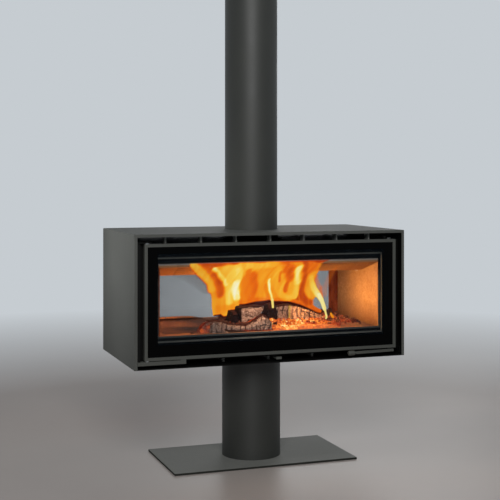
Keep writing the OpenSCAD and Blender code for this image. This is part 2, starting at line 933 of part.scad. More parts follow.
// The upper keeper has a foot that runs down onto the face frame.
module latch_keepers() {
    foot_h = 12;
    x1 = rod_x - cam_throw - cam_nose_d / 2 - keeper_gap;
    color(paint) both_faces() {
        latch_keeper(door_top + door_clear, door_top + door_clear + keeper_h);
        block([x1 - keeper_w, -face_y - keeper_t, shell_top - foot_h],
            [x1, -face_y, door_top + door_clear + keeper_h]);
        latch_keeper(box_z, door_z - door_clear);
    }
}

// Air control

module slider_guide() {
    y = -air_box_y;
    lip_y = y - slider_t - 2 * fit_gap;
    foot_z = slider_z - fit_gap;
    top = slider_z + slider_h;
    color(black_steel) {
        translate([tab_x, 0, 0]) {
            half = slider_len / 2 + air_travel;
            slab(half, lip_y - guide_t, y, top + fit_gap, top + fit_gap + guide_t);
            slab(half, lip_y - guide_t, lip_y, top - guide_lip, top + fit_gap + guide_t);
        }
        for (side = [-1, 1]) translate([tab_x + side * guide_foot_x, 0, 0]) {
            slab(guide_foot_w / 2, lip_y - guide_t, y, foot_z - guide_t, foot_z);
            slab(guide_foot_w / 2, lip_y - guide_t, lip_y, foot_z - guide_t, slider_z + guide_lip);
        }
    }
}

// A slotted plate on the air box with one bent arm that comes out under the front door.
module air_slider() {
    y1 = -air_box_y - fit_gap;
    y0 = y1 - slider_t;
    tip_y = front_set - front;
    tab_t = 3;
    tab_z = arm_low_z - tab_lip;
    arm = [
        [y1, slider_z], [-arm_drop_y, slider_z], [-arm_low_y, arm_low_z], [tip_y + tab_t, arm_low_z],
        [tip_y + tab_t, tab_z], [tip_y, tab_z], [tip_y, tab_z + tab_h], [tip_y + tab_t, tab_z + tab_h],
        [tip_y + tab_t, arm_low_z + arm_t], [-arm_low_y + 1, arm_low_z + arm_t],
        [-arm_drop_y + 1, slider_z + arm_t], [y1, slider_z + arm_t]
    ];
    color(paint) translate([tab_x, 0, 0]) {
        difference() {
            slab(slider_len / 2, y0, y1, slider_z, slider_z + slider_h);
            air_slots(0, -y0, slider_t);
        }
        rotate([90, 0, 90]) translate([0, 0, -tab_w / 2]) linear_extrude(height = tab_w) polygon(arm);
    }
}

// Fire load

// The uneven half-round bark side of a log, below its split face.
function bark_side(w, h, seed) = [
    for (i = [0 : log_sides - 1])
        let (a = 180 + i * 180 / (log_sides - 1), r = 1 + 0.07 * sin(seed + i * 131))
            [w / 2 * r * cos(a), h * r * sin(a)]
];

// Height of a log's split face above the bed that its bark side rests on.
function log_seat(w, h, seed) = -min([for (p = bark_side(w, h, seed)) p[1]]);

// A log's outline, flat split face up and round bark side down, with a share of its height left.
module log_outline(w, h, seed, share) {
    seat = log_seat(w, h, seed);
    outline = concat(bark_side(w, h, seed), [[w * 0.2, h * 0.12], [-w * 0.22, h * 0.1]]);
    polygon([for (p = outline) [p[0], share * (p[1] + seat) - seat]]);
}

// A split log from three outlines: both ends at their full height, and the waist that the fire has eaten.
module split_log(len, w, h, seed, waist) {
    cut = 1;
    mid_size = (1 + log_taper) / 2;
    stations = [[0, 1, 1], [(len - cut) / 2, mid_size, waist], [len - cut, log_taper, 1]];
    for (i = [0, 1]) hull() for (station = [stations[i], stations[i + 1]])
        translate([0, 0, station[0]]) linear_extrude(height = cut) scale(station[1])
            log_outline(w, h, seed, station[2]);
}

module front_log() {
    seat = log_seat(front_log_w, front_log_h, front_log_seed);
    color(bark) translate([front_log_x, front_log_y, ember_top + seat])
        rotate([0, 90, front_log_turn]) rotate([0, 0, 90])
            split_log(front_log_len, front_log_w, front_log_h, front_log_seed, front_log_waist);
}

module upper_log() {
    seat = log_seat(upper_log_w, upper_log_h, upper_log_seed);
    color(bark) translate([upper_log_x, upper_log_y, ember_top + seat])
        rotate([-90, 0, 0]) rotate([0, 0, 180])
            split_log(upper_log_len, upper_log_w, upper_log_h, upper_log_seed, upper_log_waist);
}

module rear_log() {
    seat = log_seat(rear_log_w, rear_log_h, rear_log_seed);
    color(bark) translate([rear_log_x, rear_log_y, ember_top + seat])
        rotate([0, 90, rear_log_turn]) rotate([0, 0, 90])
            split_log(rear_log_len, rear_log_w, rear_log_h, rear_log_seed, rear_log_waist);
}

// A low bed of ash and embers on the chamber floor, its edges falling away to the sills.
module ember_bed() {
    margin = 6;
    corner_r = 40;
    fall = 14;
    side = board_x - riser_w;
    deep = shell_y - margin;
    color(glow) translate([0, 0, hearth_z]) hull() {
        linear_extrude(height = 2) ember_outline(side, deep, corner_r);
        linear_extrude(height = ember_h) ember_outline(side - 2 * fall, deep - fall, corner_r);
    }
}

module ember_outline(half_x, half_y, r) {
    offset(r = r, $fn = 24) square([2 * (half_x - r), 2 * (half_y - r)], center = true);
}

// Doors, drawn at the front

module door_frame() {
    color(dark_paint) difference() {
        slab(door_x, -front, -front + rim_d, door_z, door_top);
        slab(door_x - rim_w, -front - 1, -front + rim_d + 1, door_z + rim_w, door_top - rim_w);
        slab(rebate_x, -glass_y, -front + rim_d + 1, rebate_z0, rebate_z1);
        post_at(-hinge_x, -hinge_y, pin_d + 2 * run_gap, door_z - 1, door_top + 1);
        post_at(rod_x, -rod_y, rod_d + 2 * run_gap, door_z - 1, door_top + 1);
        frame_screw_places() rotate([0, 90, 0])
            translate([0, 0, -1]) cylinder(d = rim_screw_d + 2 * tap_gap, h = rim_screw_bite + 1);
    }
}

module door_glass() {
    color(glass_tint)
        slab(rebate_x - glass_gap, -glass_y, -tape_y, rebate_z0 + glass_gap, rebate_z1 - glass_gap);
}

module glass_tape() {
    edge = glass_gap + tape_w;
    color(seal_grey) ring_frame(rebate_x - edge, rebate_z0 + edge, rebate_z1 - edge,
        tape_w, -tape_y, -plate_y);
}

// The black frame behind the glass: a flat plate round the window, a flange into the rim and a rope channel.
module inner_frame() {
    outer_x = rebate_x - glass_gap;
    outer_z0 = rebate_z0 + glass_gap;
    outer_z1 = rebate_z1 - glass_gap;
    flange = rim_flange_t;
    color(black_steel) difference() {
        union() {
            difference() {
                slab(outer_x, -plate_y, -plate_back, outer_z0, outer_z1);
                slab(window_x, -plate_y - 1, -plate_back + 1, window_z0, window_z1);
            }
            ring_frame(outer_x - flange, outer_z0 + flange, outer_z1 - flange, flange,
                -plate_back - eps, -plate_back + rim_flange_w);
            ring_frame(rope_x - rib_t, rope_z0 + rib_t, rope_z1 - rib_t, rib_t,
                -plate_back - eps, -rib_end);
            ring_frame(rope_x + rope_w, rope_z0 - rope_w, rope_z1 + rope_w, rib_t,
                -plate_back - eps, -rib_end);
        }
        post_at(rod_x, -rod_y, rod_d + 2 * slip, outer_z0 - 1, outer_z0 + flange + 1);
        post_at(rod_x, -rod_y, rod_d + 2 * slip, outer_z1 - flange - 1, outer_z1 + 1);
        frame_screw_places() rotate([0, 90, 0])
            translate([0, 0, -glass_gap - flange - 1])
                cylinder(d = rim_screw_d + 2 * hole_gap, h = flange + 1 + glass_gap);
    }
}

// Screw places on the rebate's walls, each turned so that its screw runs along +X into the rim.
module frame_screw_places() {
    middle_z = (door_z + door_top) / 2;
    for (side = [-1, 1], up = [-1, 1])
        translate([side * rebate_x, -rim_screw_y, middle_z + up * rim_screw_rise])
            rotate([0, side < 0 ? 180 : 0, 0]) children();
    for (i = [-1, 0, 1]) {
        translate([i * rim_screw_pitch, -rim_screw_y, rebate_z1]) rotate([0, -90, 0]) children();
        translate([i * rim_screw_pitch, -rim_screw_y, rebate_z0]) rotate([0, 90, 0]) children();
    }
}

module frame_screws() {
    seat = glass_gap + rim_flange_t;
    color(raw_steel) frame_screw_places() translate([-seat, 0, 0])
        pan_screw(rim_screw_d, rim_screw_head_d, rim_screw_head_h, seat + rim_screw_len);
}

// One straight run of rope with a flat back in the channel and a round nose, along +X from the origin.
module rope_run(len) {
    nose_y = rope_end + rope_w / 2;
    translate([0, -plate_back, 0]) cube([len, plate_back - nose_y, rope_w]);
    translate([0, -nose_y, rope_w / 2]) rotate([0, 90, 0]) cylinder(d = rope_w, h = len, $fn = 32);
}

// The rope runs round the channel, and its upright runs cross the level ones at the corners.
module rope_seal() {
    half_x = rope_x + rope_w;
    low = rope_z0 - rope_w;
    high = rope_z1 + rope_w;
    color(seal_grey) {
        for (z = [low, high - rope_w]) translate([-half_x, 0, z]) rope_run(2 * half_x);
        for (x = [rope_w - half_x, half_x]) translate([x, 0, low]) rotate([0, -90, 0]) rope_run(high - low);
    }
}

module front_door_frame() {
    door_frame();
}

module rear_door_frame() {
    at_rear() door_frame();
}

module front_door_glass() {
    door_glass();
}

module rear_door_glass() {
    at_rear() door_glass();
}

module front_glass_tape() {
    glass_tape();
}

module rear_glass_tape() {
    at_rear() glass_tape();
}

module front_inner_frame() {
    inner_frame();
}

module rear_inner_frame() {
    at_rear() inner_frame();
}

module front_frame_screws() {
    frame_screws();
}

module rear_frame_screws() {
    at_rear() frame_screws();
}

module front_rope_seal() {
    rope_seal();
}

module rear_rope_seal() {
    at_rear() rope_seal();
}

// Latches, drawn at the front right

// An oval cam on the rod, its throw towards the hinge side.
module latch_cam(z0) {
    translate([rod_x, -rod_y, z0]) hull() {
        cylinder(d = cam_hub_d, h = cam_t, $fn = 32);
        translate([-cam_throw, 0, 0]) cylinder(d = cam_nose_d, h = cam_t, $fn = 32);
    }
}

module latch_rod() {
    top_cam_z = door_top + fit_gap;
    color(raw_steel) {
        post_at(rod_x, -rod_y, rod_d, lever_z, top_cam_z + cam_t + 1);
        latch_cam(top_cam_z);
        latch_cam(door_z - fit_gap - cam_t);
    }
}

// The lever's own line starts in front of the rod and leans off the door towards the knob.
module on_lever_line() {
    translate([rod_x + lever_tail, -lever_start_y, lever_z + hub_h / 2])
        rotate([0, 0, 180 + lever_angle]) children();
}

module latch_lever() {
    color(paint) difference() {
        union() {
            post_at(rod_x, -rod_y, hub_d, lever_z, lever_z + hub_h);
            block([rod_x - hub_d / 2, -lever_start_y, lever_z], [rod_x + hub_d / 2, -rod_y, lever_z + hub_h]);
            on_lever_line() {
                block([0, -lever_t / 2, -hub_h / 2], [lever_arm_len, lever_t / 2, hub_h / 2]);
                translate([lever_arm_len - 1, 0, 0]) rotate([0, 90, 0])
                    cylinder(d = neck_d, h = neck_len + 1);
            }
        }
        post_at(rod_x, -rod_y, rod_d + 2 * tap_gap, lever_z - 1, lever_z + hub_h + 1);
    }
}

// A turned knob with rounded ends.
module latch_knob() {
    r = knob_d / 2;
    round_r = 4;
    outline = concat(
        [[0, 0]],
        [for (a = [0 : 15 : 90]) [r - round_r + round_r * sin(a), round_r - round_r * cos(a)]],
        [for (a = [0 : 15 : 90]) [r - round_r + round_r * cos(a), knob_len - round_r + round_r * sin(a)]],
        [[0, knob_len]]
    );
    color(paint) on_lever_line() translate([lever_arm_len + neck_len, 0, 0]) rotate([0, 90, 0])
        rotate_extrude($fn = 48) polygon(outline);
}

module front_latch_rod() {
    latch_rod();
}

module rear_latch_rod() {
    at_rear() latch_rod();
}

module front_latch_lever() {
    latch_lever();
}

module rear_latch_lever() {
    at_rear() latch_lever();
}

module front_latch_knob() {
    latch_knob();
}

module rear_latch_knob() {
    at_rear() latch_knob();
}

base_plate();
pedestal_column();
pedestal_post();
foot_bolts();
head_bolts();
casing_wrap();
casing_floor();
body_screws();
carrier_beams();
firebox_shell();
front_face_frame();
rear_face_frame();
air_box();
duct_sleeve();
ash_pan();
grate();
floor_bricks();
left_side_board();
right_side_board();
front_deflector();
rear_deflector();
centre_baffle();
baffle_brackets();
lining_clips();
corner_risers();
flue_collar();
flue_pipe();
top_fins();
bottom_fins();
front_hinge_post();
rear_hinge_post();
front_hinge_bar();
rear_hinge_bar();
hinge_pins();
latch_keepers();
slider_guide();
air_slider();
ember_bed();
front_log();
upper_log();
rear_log();
front_door_frame();
rear_door_frame();
front_door_glass();
rear_door_glass();
front_glass_tape();
rear_glass_tape();
front_inner_frame();
rear_inner_frame();
front_frame_screws();
rear_frame_screws();
front_rope_seal();
rear_rope_seal();
front_latch_rod();
rear_latch_rod();
front_latch_lever();
rear_latch_lever();
front_latch_knob();
rear_latch_knob();
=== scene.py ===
"""A double-sided freestanding fireplace with its fire burning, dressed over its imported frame.

Everything is in metres, in the frame of the part: +Z up, the front door facing -Y, the base plate on z = 0.
Everything at the rear is the front turned half a turn about Z.
"""

import itertools
import math

import bmesh
import bpy
import numpy as np
from mathutils import Matrix, Vector


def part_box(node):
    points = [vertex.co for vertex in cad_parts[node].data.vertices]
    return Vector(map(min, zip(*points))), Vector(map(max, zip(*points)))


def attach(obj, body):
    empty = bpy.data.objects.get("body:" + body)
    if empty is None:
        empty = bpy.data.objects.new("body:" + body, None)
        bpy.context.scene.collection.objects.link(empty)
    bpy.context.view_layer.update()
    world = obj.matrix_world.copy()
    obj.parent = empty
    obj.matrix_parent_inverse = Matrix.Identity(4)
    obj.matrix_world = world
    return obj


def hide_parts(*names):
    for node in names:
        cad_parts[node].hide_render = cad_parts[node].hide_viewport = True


MM = 0.001
HALF_TURN = Matrix.Rotation(math.pi, 4, "Z")
SIDES = ("front", "rear")
SAME_PLACE = 1e-6  # points nearer than this are one

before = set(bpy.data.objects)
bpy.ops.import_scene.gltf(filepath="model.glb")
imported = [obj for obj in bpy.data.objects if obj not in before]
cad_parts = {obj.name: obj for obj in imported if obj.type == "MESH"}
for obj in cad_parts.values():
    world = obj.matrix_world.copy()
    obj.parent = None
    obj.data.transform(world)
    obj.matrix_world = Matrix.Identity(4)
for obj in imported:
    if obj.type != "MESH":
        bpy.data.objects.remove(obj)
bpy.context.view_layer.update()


# Camera

CAMERA_PLACE = (-1.3714, -3.8658, 1.0313)
CAMERA_YAW = -19.476  # degrees about Z from looking along +Y
LENS = 80.07  # millimetres, on a sensor of this width
SENSOR = 36.0
HORIZON_SHIFT = -0.1488  # the horizon stands this share of the picture above its middle


def set_camera():
    """A level camera at the photograph's place, with its picture shifted down to take in the base plate."""
    lens = bpy.data.cameras.new("camera")
    lens.sensor_width = SENSOR
    lens.lens = LENS
    lens.shift_y = HORIZON_SHIFT
    lens.clip_end = 100.0
    camera = bpy.data.objects.new("camera", lens)
    camera.location = CAMERA_PLACE
    camera.rotation_euler = (math.radians(90), 0, math.radians(CAMERA_YAW))
    bpy.context.scene.collection.objects.link(camera)
    bpy.context.scene.camera = camera


# Colours and nodes


def linear(hex_colour):
    """An sRGB hex colour as linear RGBA."""
    parts = [int(hex_colour[i : i + 2], 16) / 255 for i in (1, 3, 5)]
    return (*[p / 12.92 if p <= 0.04045 else ((p + 0.055) / 1.055) ** 2.4 for p in parts], 1.0)


def feed(node, inputs):
    """Gives a node's sockets, by name or number, a value, a hex colour or the output that feeds them."""
    for key, value in inputs.items():
        socket = node.inputs[key]
        if isinstance(value, bpy.types.NodeSocket):
            node.id_data.links.new(value, socket)
        else:
            socket.default_value = linear(value) if isinstance(value, str) else value


def add(tree, kind, inputs=(), stops=(), **settings):
    """Adds one node with its settings and links, and gives its outputs.

    inputs are as for feed, or a list in the order of the sockets. stops are the places and hex colours of a
    colour ramp. A Mix of colours has its share at socket 0, its colours at 6 and 7, its result at output 2.
    """
    node = tree.nodes.new("ShaderNode" + kind)
    for name, value in settings.items():
        setattr(node, name, value)
    for place, _ in stops[1:-1]:
        node.color_ramp.elements.new(place)
    for index, (place, colour) in enumerate(stops):
        node.color_ramp.elements[index].position = place
        node.color_ramp.elements[index].color = linear(colour)
    feed(node, inputs if isinstance(inputs, dict) else dict(enumerate(inputs)))
    return node.outputs


def blobs(size):
    """The scale of a noise whose soft blobs are size metres across."""
    return 0.5 / size


def new_finish(name):
    """A new material, with its node tree, its one Principled shader and its Object coordinates."""
    material = bpy.data.materials.new(name)
    material.use_nodes = True
    tree = material.node_tree
    return material, tree, tree.nodes["Principled BSDF"], add(tree, "TexCoord")["Object"]


def coats(tree, colour, *layers):
    """Lays (share, colour) layers over a colour, one after another."""
    for share, coat in layers:
        colour = add(tree, "Mix", {0: share, 6: colour, 7: coat}, data_type="RGBA")[2]
    return colour


def dented(tree, place, size, depth, strength, detail=3.0):
    """The normal of a surface with soft dents, size across and depth deep."""
    dents = add(tree, "TexNoise", {"Vector": place, "Scale": blobs(size), "Detail": detail})[0]
    return add(tree, "Bump", {"Height": dents, "Distance": depth, "Strength": strength})[0]


def far_from(tree, place, box):
    """How far place lies outside a box, which gives its low and high along two or three axes.

    Along one axis this is |place - middle| less half the box's size. The axis with the most counts, and
    inside the box it is below 0.
    """
    places = add(tree, "SeparateXYZ", [place])
    outside = -1.0
    for axis, (low, high) in box.items():
        away = add(tree, "Math", [places[axis], (low + high) / 2], operation="SUBTRACT")[0]
        away = add(tree, "Math", [away], operation="ABSOLUTE")[0]
        away = add(tree, "Math", [away, (high - low) / 2], operation="SUBTRACT")[0]
        outside = add(tree, "Math", [outside, away], operation="MAXIMUM")[0]
    return outside


# Finishes

MOST_NOISE = (0.3, 0.7)  # nearly all of a noise lies between these

# The window in the door's inner frame, the bead round the fire mouth, the mouth, and the casing's hollow
WINDOW_BOX = {"X": (-417.5 * MM, 417.5 * MM), "Z": (462 * MM, 766 * MM)}
BEAD_BOX = {"X": (-421.5 * MM, 421.5 * MM), "Z": (468.5 * MM, 751.5 * MM)}
MOUTH_BOX = {"X": (-410 * MM, 410 * MM), "Z": (487 * MM, 733 * MM)}
CASING_HOLLOW = {"X": (-498.5 * MM, 498.5 * MM), "Y": (-249 * MM, 249 * MM), "Z": (381 * MM, 832 * MM)}

PRINT_LAP = 2 * MM  # of the glass's border over the window
GLASS_HAZE = (0.16, 0.26)  # of the glass in the middle and at the sides, reached at these distances
HAZE_X = (0.10, 0.40)
LIP_HIGHLIGHT_Z = (0.66, 0.70)  # where the painted highlight on the lip of the mouth fades to black
FOOT_DARK_Z = (0.495, 0.57)  # where the darkening at the foot of the boards ends
END_GREY_Z = (0.715, 0.735)  # where the boards' sawn ends turn to a pale grey, partly painted light
BOARD_END = 214 * MM  # the deflector boards' ends, from the middle


def stove_paint(name, light, dark, roughness, gloss, black_inside=False, edge_shade_below=None):
    """Heat-proof silicone paint, sprayed on sheet steel: satin, with a fine dry grain and faint clouds.

    The real grain is about 0.4 mm. It is drawn at 1.6 mm so that it shows from a step away. With black_inside
    the sheet's inner faces in the casing's hollow are black, as painted shade of the hollow, and below the
    height given for an edge a dark grey is painted shade on that edge.
    """
    material, tree, shader, place = new_finish(name)
    clouds = add(tree, "TexNoise", {"Vector": place, "Scale": blobs(90 * MM), "Detail": 4.0})[0]
    fine = {"Vector": place, "Scale": blobs(1.6 * MM), "Detail": 2.0, "Roughness": 0.7}
    grain = add(tree, "TexNoise", fine)[0]
    tone = add(tree, "Math", [clouds, grain], operation="ADD")[0]
    tone = add(tree, "Math", [tone, 0.5], operation="MULTIPLY")[0]
    colour = add(tree, "ValToRGB", [tone], [(0.38, dark), (0.62, light)])[0]
    # Black on the sheet's inner faces in the casing's hollow: painted shade of the hollow.
    if black_inside:
        inside = add(tree, "MapRange", [far_from(tree, place, CASING_HOLLOW), 0.0, 0.2 * MM, 1.0, 0.0])[0]
        colour = coats(tree, colour, (inside, "#060605"))
    # A dark grey below the given height: painted shade on the base plate's edge.
    if edge_shade_below is not None:
        height = add(tree, "SeparateXYZ", [place])["Z"]
        edge_shade = add(tree, "MapRange", [height, edge_shade_below, edge_shade_below + 0.5 * MM, 1.0, 0.0])[0]
        colour = coats(tree, colour, (edge_shade, "#232421"))
    rough = add(tree, "MapRange", [clouds, *MOST_NOISE, roughness - 0.04, roughness + 0.05])[0]
    normal = add(tree, "Bump", {"Height": grain, "Distance": 0.12 * MM, "Strength": 0.5})[0]
    feed(shader, {"Base Color": colour, "Roughness": rough, "Normal": normal})
    feed(shader, {"IOR": 1.5, "Specular IOR Level": gloss})
    return material


def black_enamel():
    """Black heat-proof enamel on thin pressed steel, behind glass: nearly no colour and a soft sheen."""
    material, tree, shader, place = new_finish("black_enamel")
    feed(shader, {"Base Color": "#030302", "Roughness": 0.5, "IOR": 1.5, "Specular IOR Level": 0.04})
    feed(shader, {"Normal": dented(tree, place, 1.4 * MM, 0.08 * MM, 0.4, 2.0)})
    return material


def ceramic_glass():
    """Glass ceramic pane: a blue-grey haze of soot in its window, and a printed black enamel border."""
    material, tree, shader, place = new_finish("ceramic_glass")
    on_print = add(tree, "MapRange", [far_from(tree, place, WINDOW_BOX), PRINT_LAP, PRINT_LAP + 0.3 * MM])[0]
    drift = add(tree, "TexNoise", {"Vector": place, "Scale": blobs(100 * MM), "Detail": 3.0})[0]
    drift = add(tree, "MapRange", [drift, *MOST_NOISE, -60 * MM, 60 * MM])[0]
    to_side = add(tree, "Math", [add(tree, "SeparateXYZ", [place])["X"]], operation="ABSOLUTE")[0]
    to_side = add(tree, "Math", [to_side, drift], operation="ADD")[0]
    haze = add(tree, "MapRange", [to_side, *HAZE_X, *GLASS_HAZE])[0]
    cover = add(tree, "Math", [haze, on_print], operation="MAXIMUM")[0]
    feed(shader, {"Base Color": coats(tree, "#0b1218", (on_print, "#020202")), "Alpha": cover})
    feed(shader, {"Roughness": 0.05, "IOR": 1.54, "Specular IOR Level": 0.03})
    return material


def mouth_enamel():
    """The plate round the fire mouth: black enamel, with a painted grey highlight on its bead and on the lip
    of the mouth.
    """
    material, tree, shader, place = new_finish("mouth_enamel")
    # The grey on the bead and on the lower lip of the mouth is a painted highlight on their edges.
    off_bead = add(tree, "Math", [far_from(tree, place, BEAD_BOX)], operation="ABSOLUTE")[0]
    bead_highlight = add(tree, "MapRange", [off_bead, 2.4 * MM, 3.2 * MM, 1.0, 0.0])[0]
    # rubbed is the noise that varies the bead's painted highlight.
    rubbed = add(tree, "TexNoise", {"Vector": place, "Scale": blobs(20 * MM), "Detail": 4.0})[0]
    grey = add(tree, "ValToRGB", [rubbed], [(0.3, "#5d5f5b"), (0.7, "#71736e")])[0]
    lip_highlight = add(tree, "MapRange", [far_from(tree, place, MOUTH_BOX), 5 * MM, 7 * MM, 1.0, 0.0])[0]
    low_down = add(tree, "MapRange", [add(tree, "SeparateXYZ", [place])["Z"], *LIP_HIGHLIGHT_Z, 1.0, 0.0])[0]
    lip_highlight = add(tree, "Math", [lip_highlight, low_down], operation="MULTIPLY")[0]
    feed(shader, {"Base Color": coats(tree, "#040403", (lip_highlight, "#565958"), (bead_highlight, grey))})
    feed(shader, {"Roughness": 0.5, "Specular IOR Level": 0.1})
    feed(shader, {"Normal": dented(tree, place, 1.4 * MM, 0.08 * MM, 0.4, 2.0)})
    return material


def pressed_vermiculite(name, soot):
    """Vermiculite board, pressed and fired: buff flakes 2 to 5 mm wide, browned in clouds.

    Its sawn ends are greyer towards the top, a pale grey that is partly painted light on them, and it is
    darker towards its foot. soot is the share of soot all over it.
    """
    material, tree, shader, place = new_finish(name)
    flakes = add(tree, "TexVoronoi", {"Vector": place, "Scale": 1 / (5 * MM)})["Color"]
    flakes = add(tree, "SeparateColor", [flakes])[0]
    buffs = [(0.0, "#b18a5f"), (0.35, "#bd976b"), (0.75, "#c8a377"), (1.0, "#d2ae83")]
    scorch = add(tree, "TexNoise", {"Vector": place, "Scale": blobs(90 * MM), "Detail": 4.0})[0]
    browned = add(tree, "MapRange", [scorch, 0.40, 0.75, 0.0, 0.65])[0]
    places = add(tree, "SeparateXYZ", [place])
    drift = add(tree, "MapRange", [scorch, *MOST_NOISE, -30 * MM, 30 * MM])[0]
    height = add(tree, "Math", [places["Z"], drift], operation="ADD")[0]
    darker_foot = add(tree, "MapRange", [height, *FOOT_DARK_Z, 0.75, 0.0])[0]
    to_door = add(tree, "Math", [places["Y"]], operation="ABSOLUTE")[0]
    on_end = add(tree, "MapRange", [to_door, BOARD_END - 3 * MM, BOARD_END - 1 * MM])[0]
    # The pale grey at the top of the sawn ends is partly painted light on them.
    up_end = add(tree, "MapRange", [places["Z"], *END_GREY_Z])[0]
    end_grey_and_light = add(tree, "ValToRGB", [up_end], [(0.5, "#c08c5e"), (0.65, "#c4bab0")])[0]
    layers = [(browned, "#8a6445"), (darker_foot, "#6b4328"), (soot, "#6e4226"), (on_end, end_grey_and_light)]
    pits = add(tree, "TexNoise", {"Vector": place, "Scale": blobs(1.5 * MM), "Detail": 3.0})[0]
    relief = add(tree, "Math", [flakes, pits], operation="ADD")[0]
    normal = add(tree, "Bump", {"Height": relief, "Distance": 0.25 * MM, "Strength": 0.5})[0]
    feed(shader, {"Base Color": coats(tree, add(tree, "ValToRGB", [flakes], buffs)[0], *layers)})
    feed(shader, {"Roughness": 0.9, "Normal": normal})
    return material


def mottled(name, size, detail, stops, sockets, rough=None, dents=None):
    """A finish of soft blobs, size across, in the colours of stops, with the shader's plain sockets.

    rough is the roughness in the darkest and in the palest blobs, and dents are the sizes of its dents.
    """
    material, tree, shader, place = new_finish(name)
    tone = add(tree, "TexNoise", {"Vector": place, "Scale": blobs(size), "Detail": detail})[0]
    feed(shader, {"Base Color": add(tree, "ValToRGB", [tone], stops)[0], **sockets})
    if rough:
        feed(shader, {"Roughness": add(tree, "MapRange", [tone, *MOST_NOISE, *rough])[0]})
    if dents:
        feed(shader, {"Normal": dented(tree, place, *dents)})
    return material


def cast_iron():
    """Sand-cast grey iron with ash on it: dark, rough and slightly metallic."""
    return mottled("cast_iron", 12 * MM, 5.0, [(0.35, "#242322"), (0.7, "#57524c")], {"Metallic": 0.5},
                   rough=(0.6, 0.9), dents=(1.2 * MM, 0.5 * MM, 0.7))


def fired_steel():
    """Bare sheet steel inside the firebox, blued and dulled by heat, with a film of soot."""
    return mottled("fired_steel", 30 * MM, 5.0, [(0.3, "#1d1a18"), (0.55, "#34302c"), (0.8, "#4d463f")],
                   {"Metallic": 0.7}, rough=(0.45, 0.75))


def scaled_steel():
    """Steel that stands in the flames: red-brown scale with darker flakes, and no metal gloss left."""
    return mottled("scaled_steel", 20 * MM, 5.0, [(0.3, "#74381c"), (0.55, "#a8582f"), (0.8, "#bd6f42")],
                   {"Roughness": 0.85, "Specular IOR Level": 0.2}, dents=(3 * MM, 0.3 * MM, 0.6, 4.0))


def ashed_steel():
    """Thin steel in the hot gas, with a pale crust of ash baked on."""
    return mottled("ashed_steel", 4 * MM, 4.0, [(0.35, "#a58d7b"), (0.7, "#d8c5b4")],
                   {"Roughness": 0.9, "Specular IOR Level": 0.2}, dents=(4 * MM, 0.3 * MM, 0.6, 4.0))


def zinc_steel():
    """Zinc-plated screws and bolts: bright, with a fine turned haze."""
    return mottled("zinc_steel", 2 * MM, 3.0, [(0.3, "#8d9093"), (0.7, "#b4b6b6")], {"Metallic": 1.0},
                   rough=(0.28, 0.45))


def phosphated_steel():
    """Phosphated steel of the latch rods: dull dark grey, rubbed brighter in patches."""
    return mottled("phosphated_steel", 4 * MM, 4.0, [(0.35, "#3a3b3b"), (0.7, "#5a5b5a")],
                   {"Metallic": 0.6, "Specular IOR Level": 0.3}, rough=(0.5, 0.65))


def glass_fibre_rope():
    """Knitted glass-fibre rope, dyed dark grey: a matt, hairy surface."""
    return mottled("glass_fibre_rope", 1 * MM, 2.0, [(0.35, "#2b2a28"), (0.65, "#4d4b47")],
                   {"Roughness": 0.95}, dents=(1 * MM, 0.5 * MM, 0.8, 2.0))


def both(*names):
    """The names of nodes that the front and the rear both have."""
    return [f"{side}_{name}" for side in SIDES for name in names]


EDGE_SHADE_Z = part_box("base_plate")[1].z - 0.9 * MM  # the plate's edge is painted a darker grey up to here: painted shade on the edge
NODE_FINISH = {
    stove_paint("stove_paint", "#50514e", "#474845", 0.7, 0.1, black_inside=True): ["casing_wrap"],
    stove_paint("plate_paint", "#747571", "#6a6b67", 0.7, 0.1, edge_shade_below=EDGE_SHADE_Z): ["base_plate"],
    # The pipe and the column take the casing's paint; these darker copies are painted shade: the column's for
    # the shade under the casing, the pipe's for its dark sides.
    stove_paint("pipe_paint", "#292a26", "#232421", 0.52, 0.4): ["flue_pipe"],
    stove_paint("column_paint", "#22231f", "#1d1e1b", 0.5, 0.5): ["pedestal_column"],
    # Near black: partly these parts' own black, partly painted shade of the gaps and slots where they stand.
    stove_paint("dark_stove_paint", "#0a0a09", "#060605", 0.6, 0.08): [
        "casing_floor", "carrier_beams", "pedestal_post", "duct_sleeve", "air_box", "slider_guide",
        "flue_collar", "firebox_shell", "latch_keepers", *both("hinge_post")],
    stove_paint("door_paint", "#454642", "#3d3e3a", 0.5, 0.25): [
        "air_slider", *both("door_frame", "latch_lever", "latch_knob", "hinge_bar")],
    # A paler copy of the grey paint: painted light on the fins' front edges in the slots.
    stove_paint("fin_paint", "#8d8e89", "#7f807b", 0.6, 0.1): ["top_fins", "bottom_fins"],
    mouth_enamel(): both("face_frame"),
    black_enamel(): both("inner_frame"),
    ceramic_glass(): both("door_glass"),
    pressed_vermiculite("pressed_vermiculite", 0.0): ["left_side_board", "right_side_board", "floor_bricks"],
    pressed_vermiculite("sooted_vermiculite", 0.55): ["centre_baffle", *both("deflector")],
    cast_iron(): ["grate"],
    fired_steel(): ["baffle_brackets", "ash_pan"],
    scaled_steel(): ["corner_risers"],
    ashed_steel(): ["lining_clips"],
    zinc_steel(): ["foot_bolts", "head_bolts", "body_screws", "hinge_pins", *both("frame_screws")],
    phosphated_steel(): both("latch_rod"),
    glass_fibre_rope(): both("rope_seal", "glass_tape"),
}
FINISH_OF = {node: finish for finish, nodes in NODE_FINISH.items() for node in nodes}


def paint_nodes():
    """Gives every CAD node that stays its finish."""
    for name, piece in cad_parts.items():
        finish = FINISH_OF.get(name)
        if finish is None:
            continue
        for slot in piece.material_slots:
            slot.material = finish


# Surfaces and noise


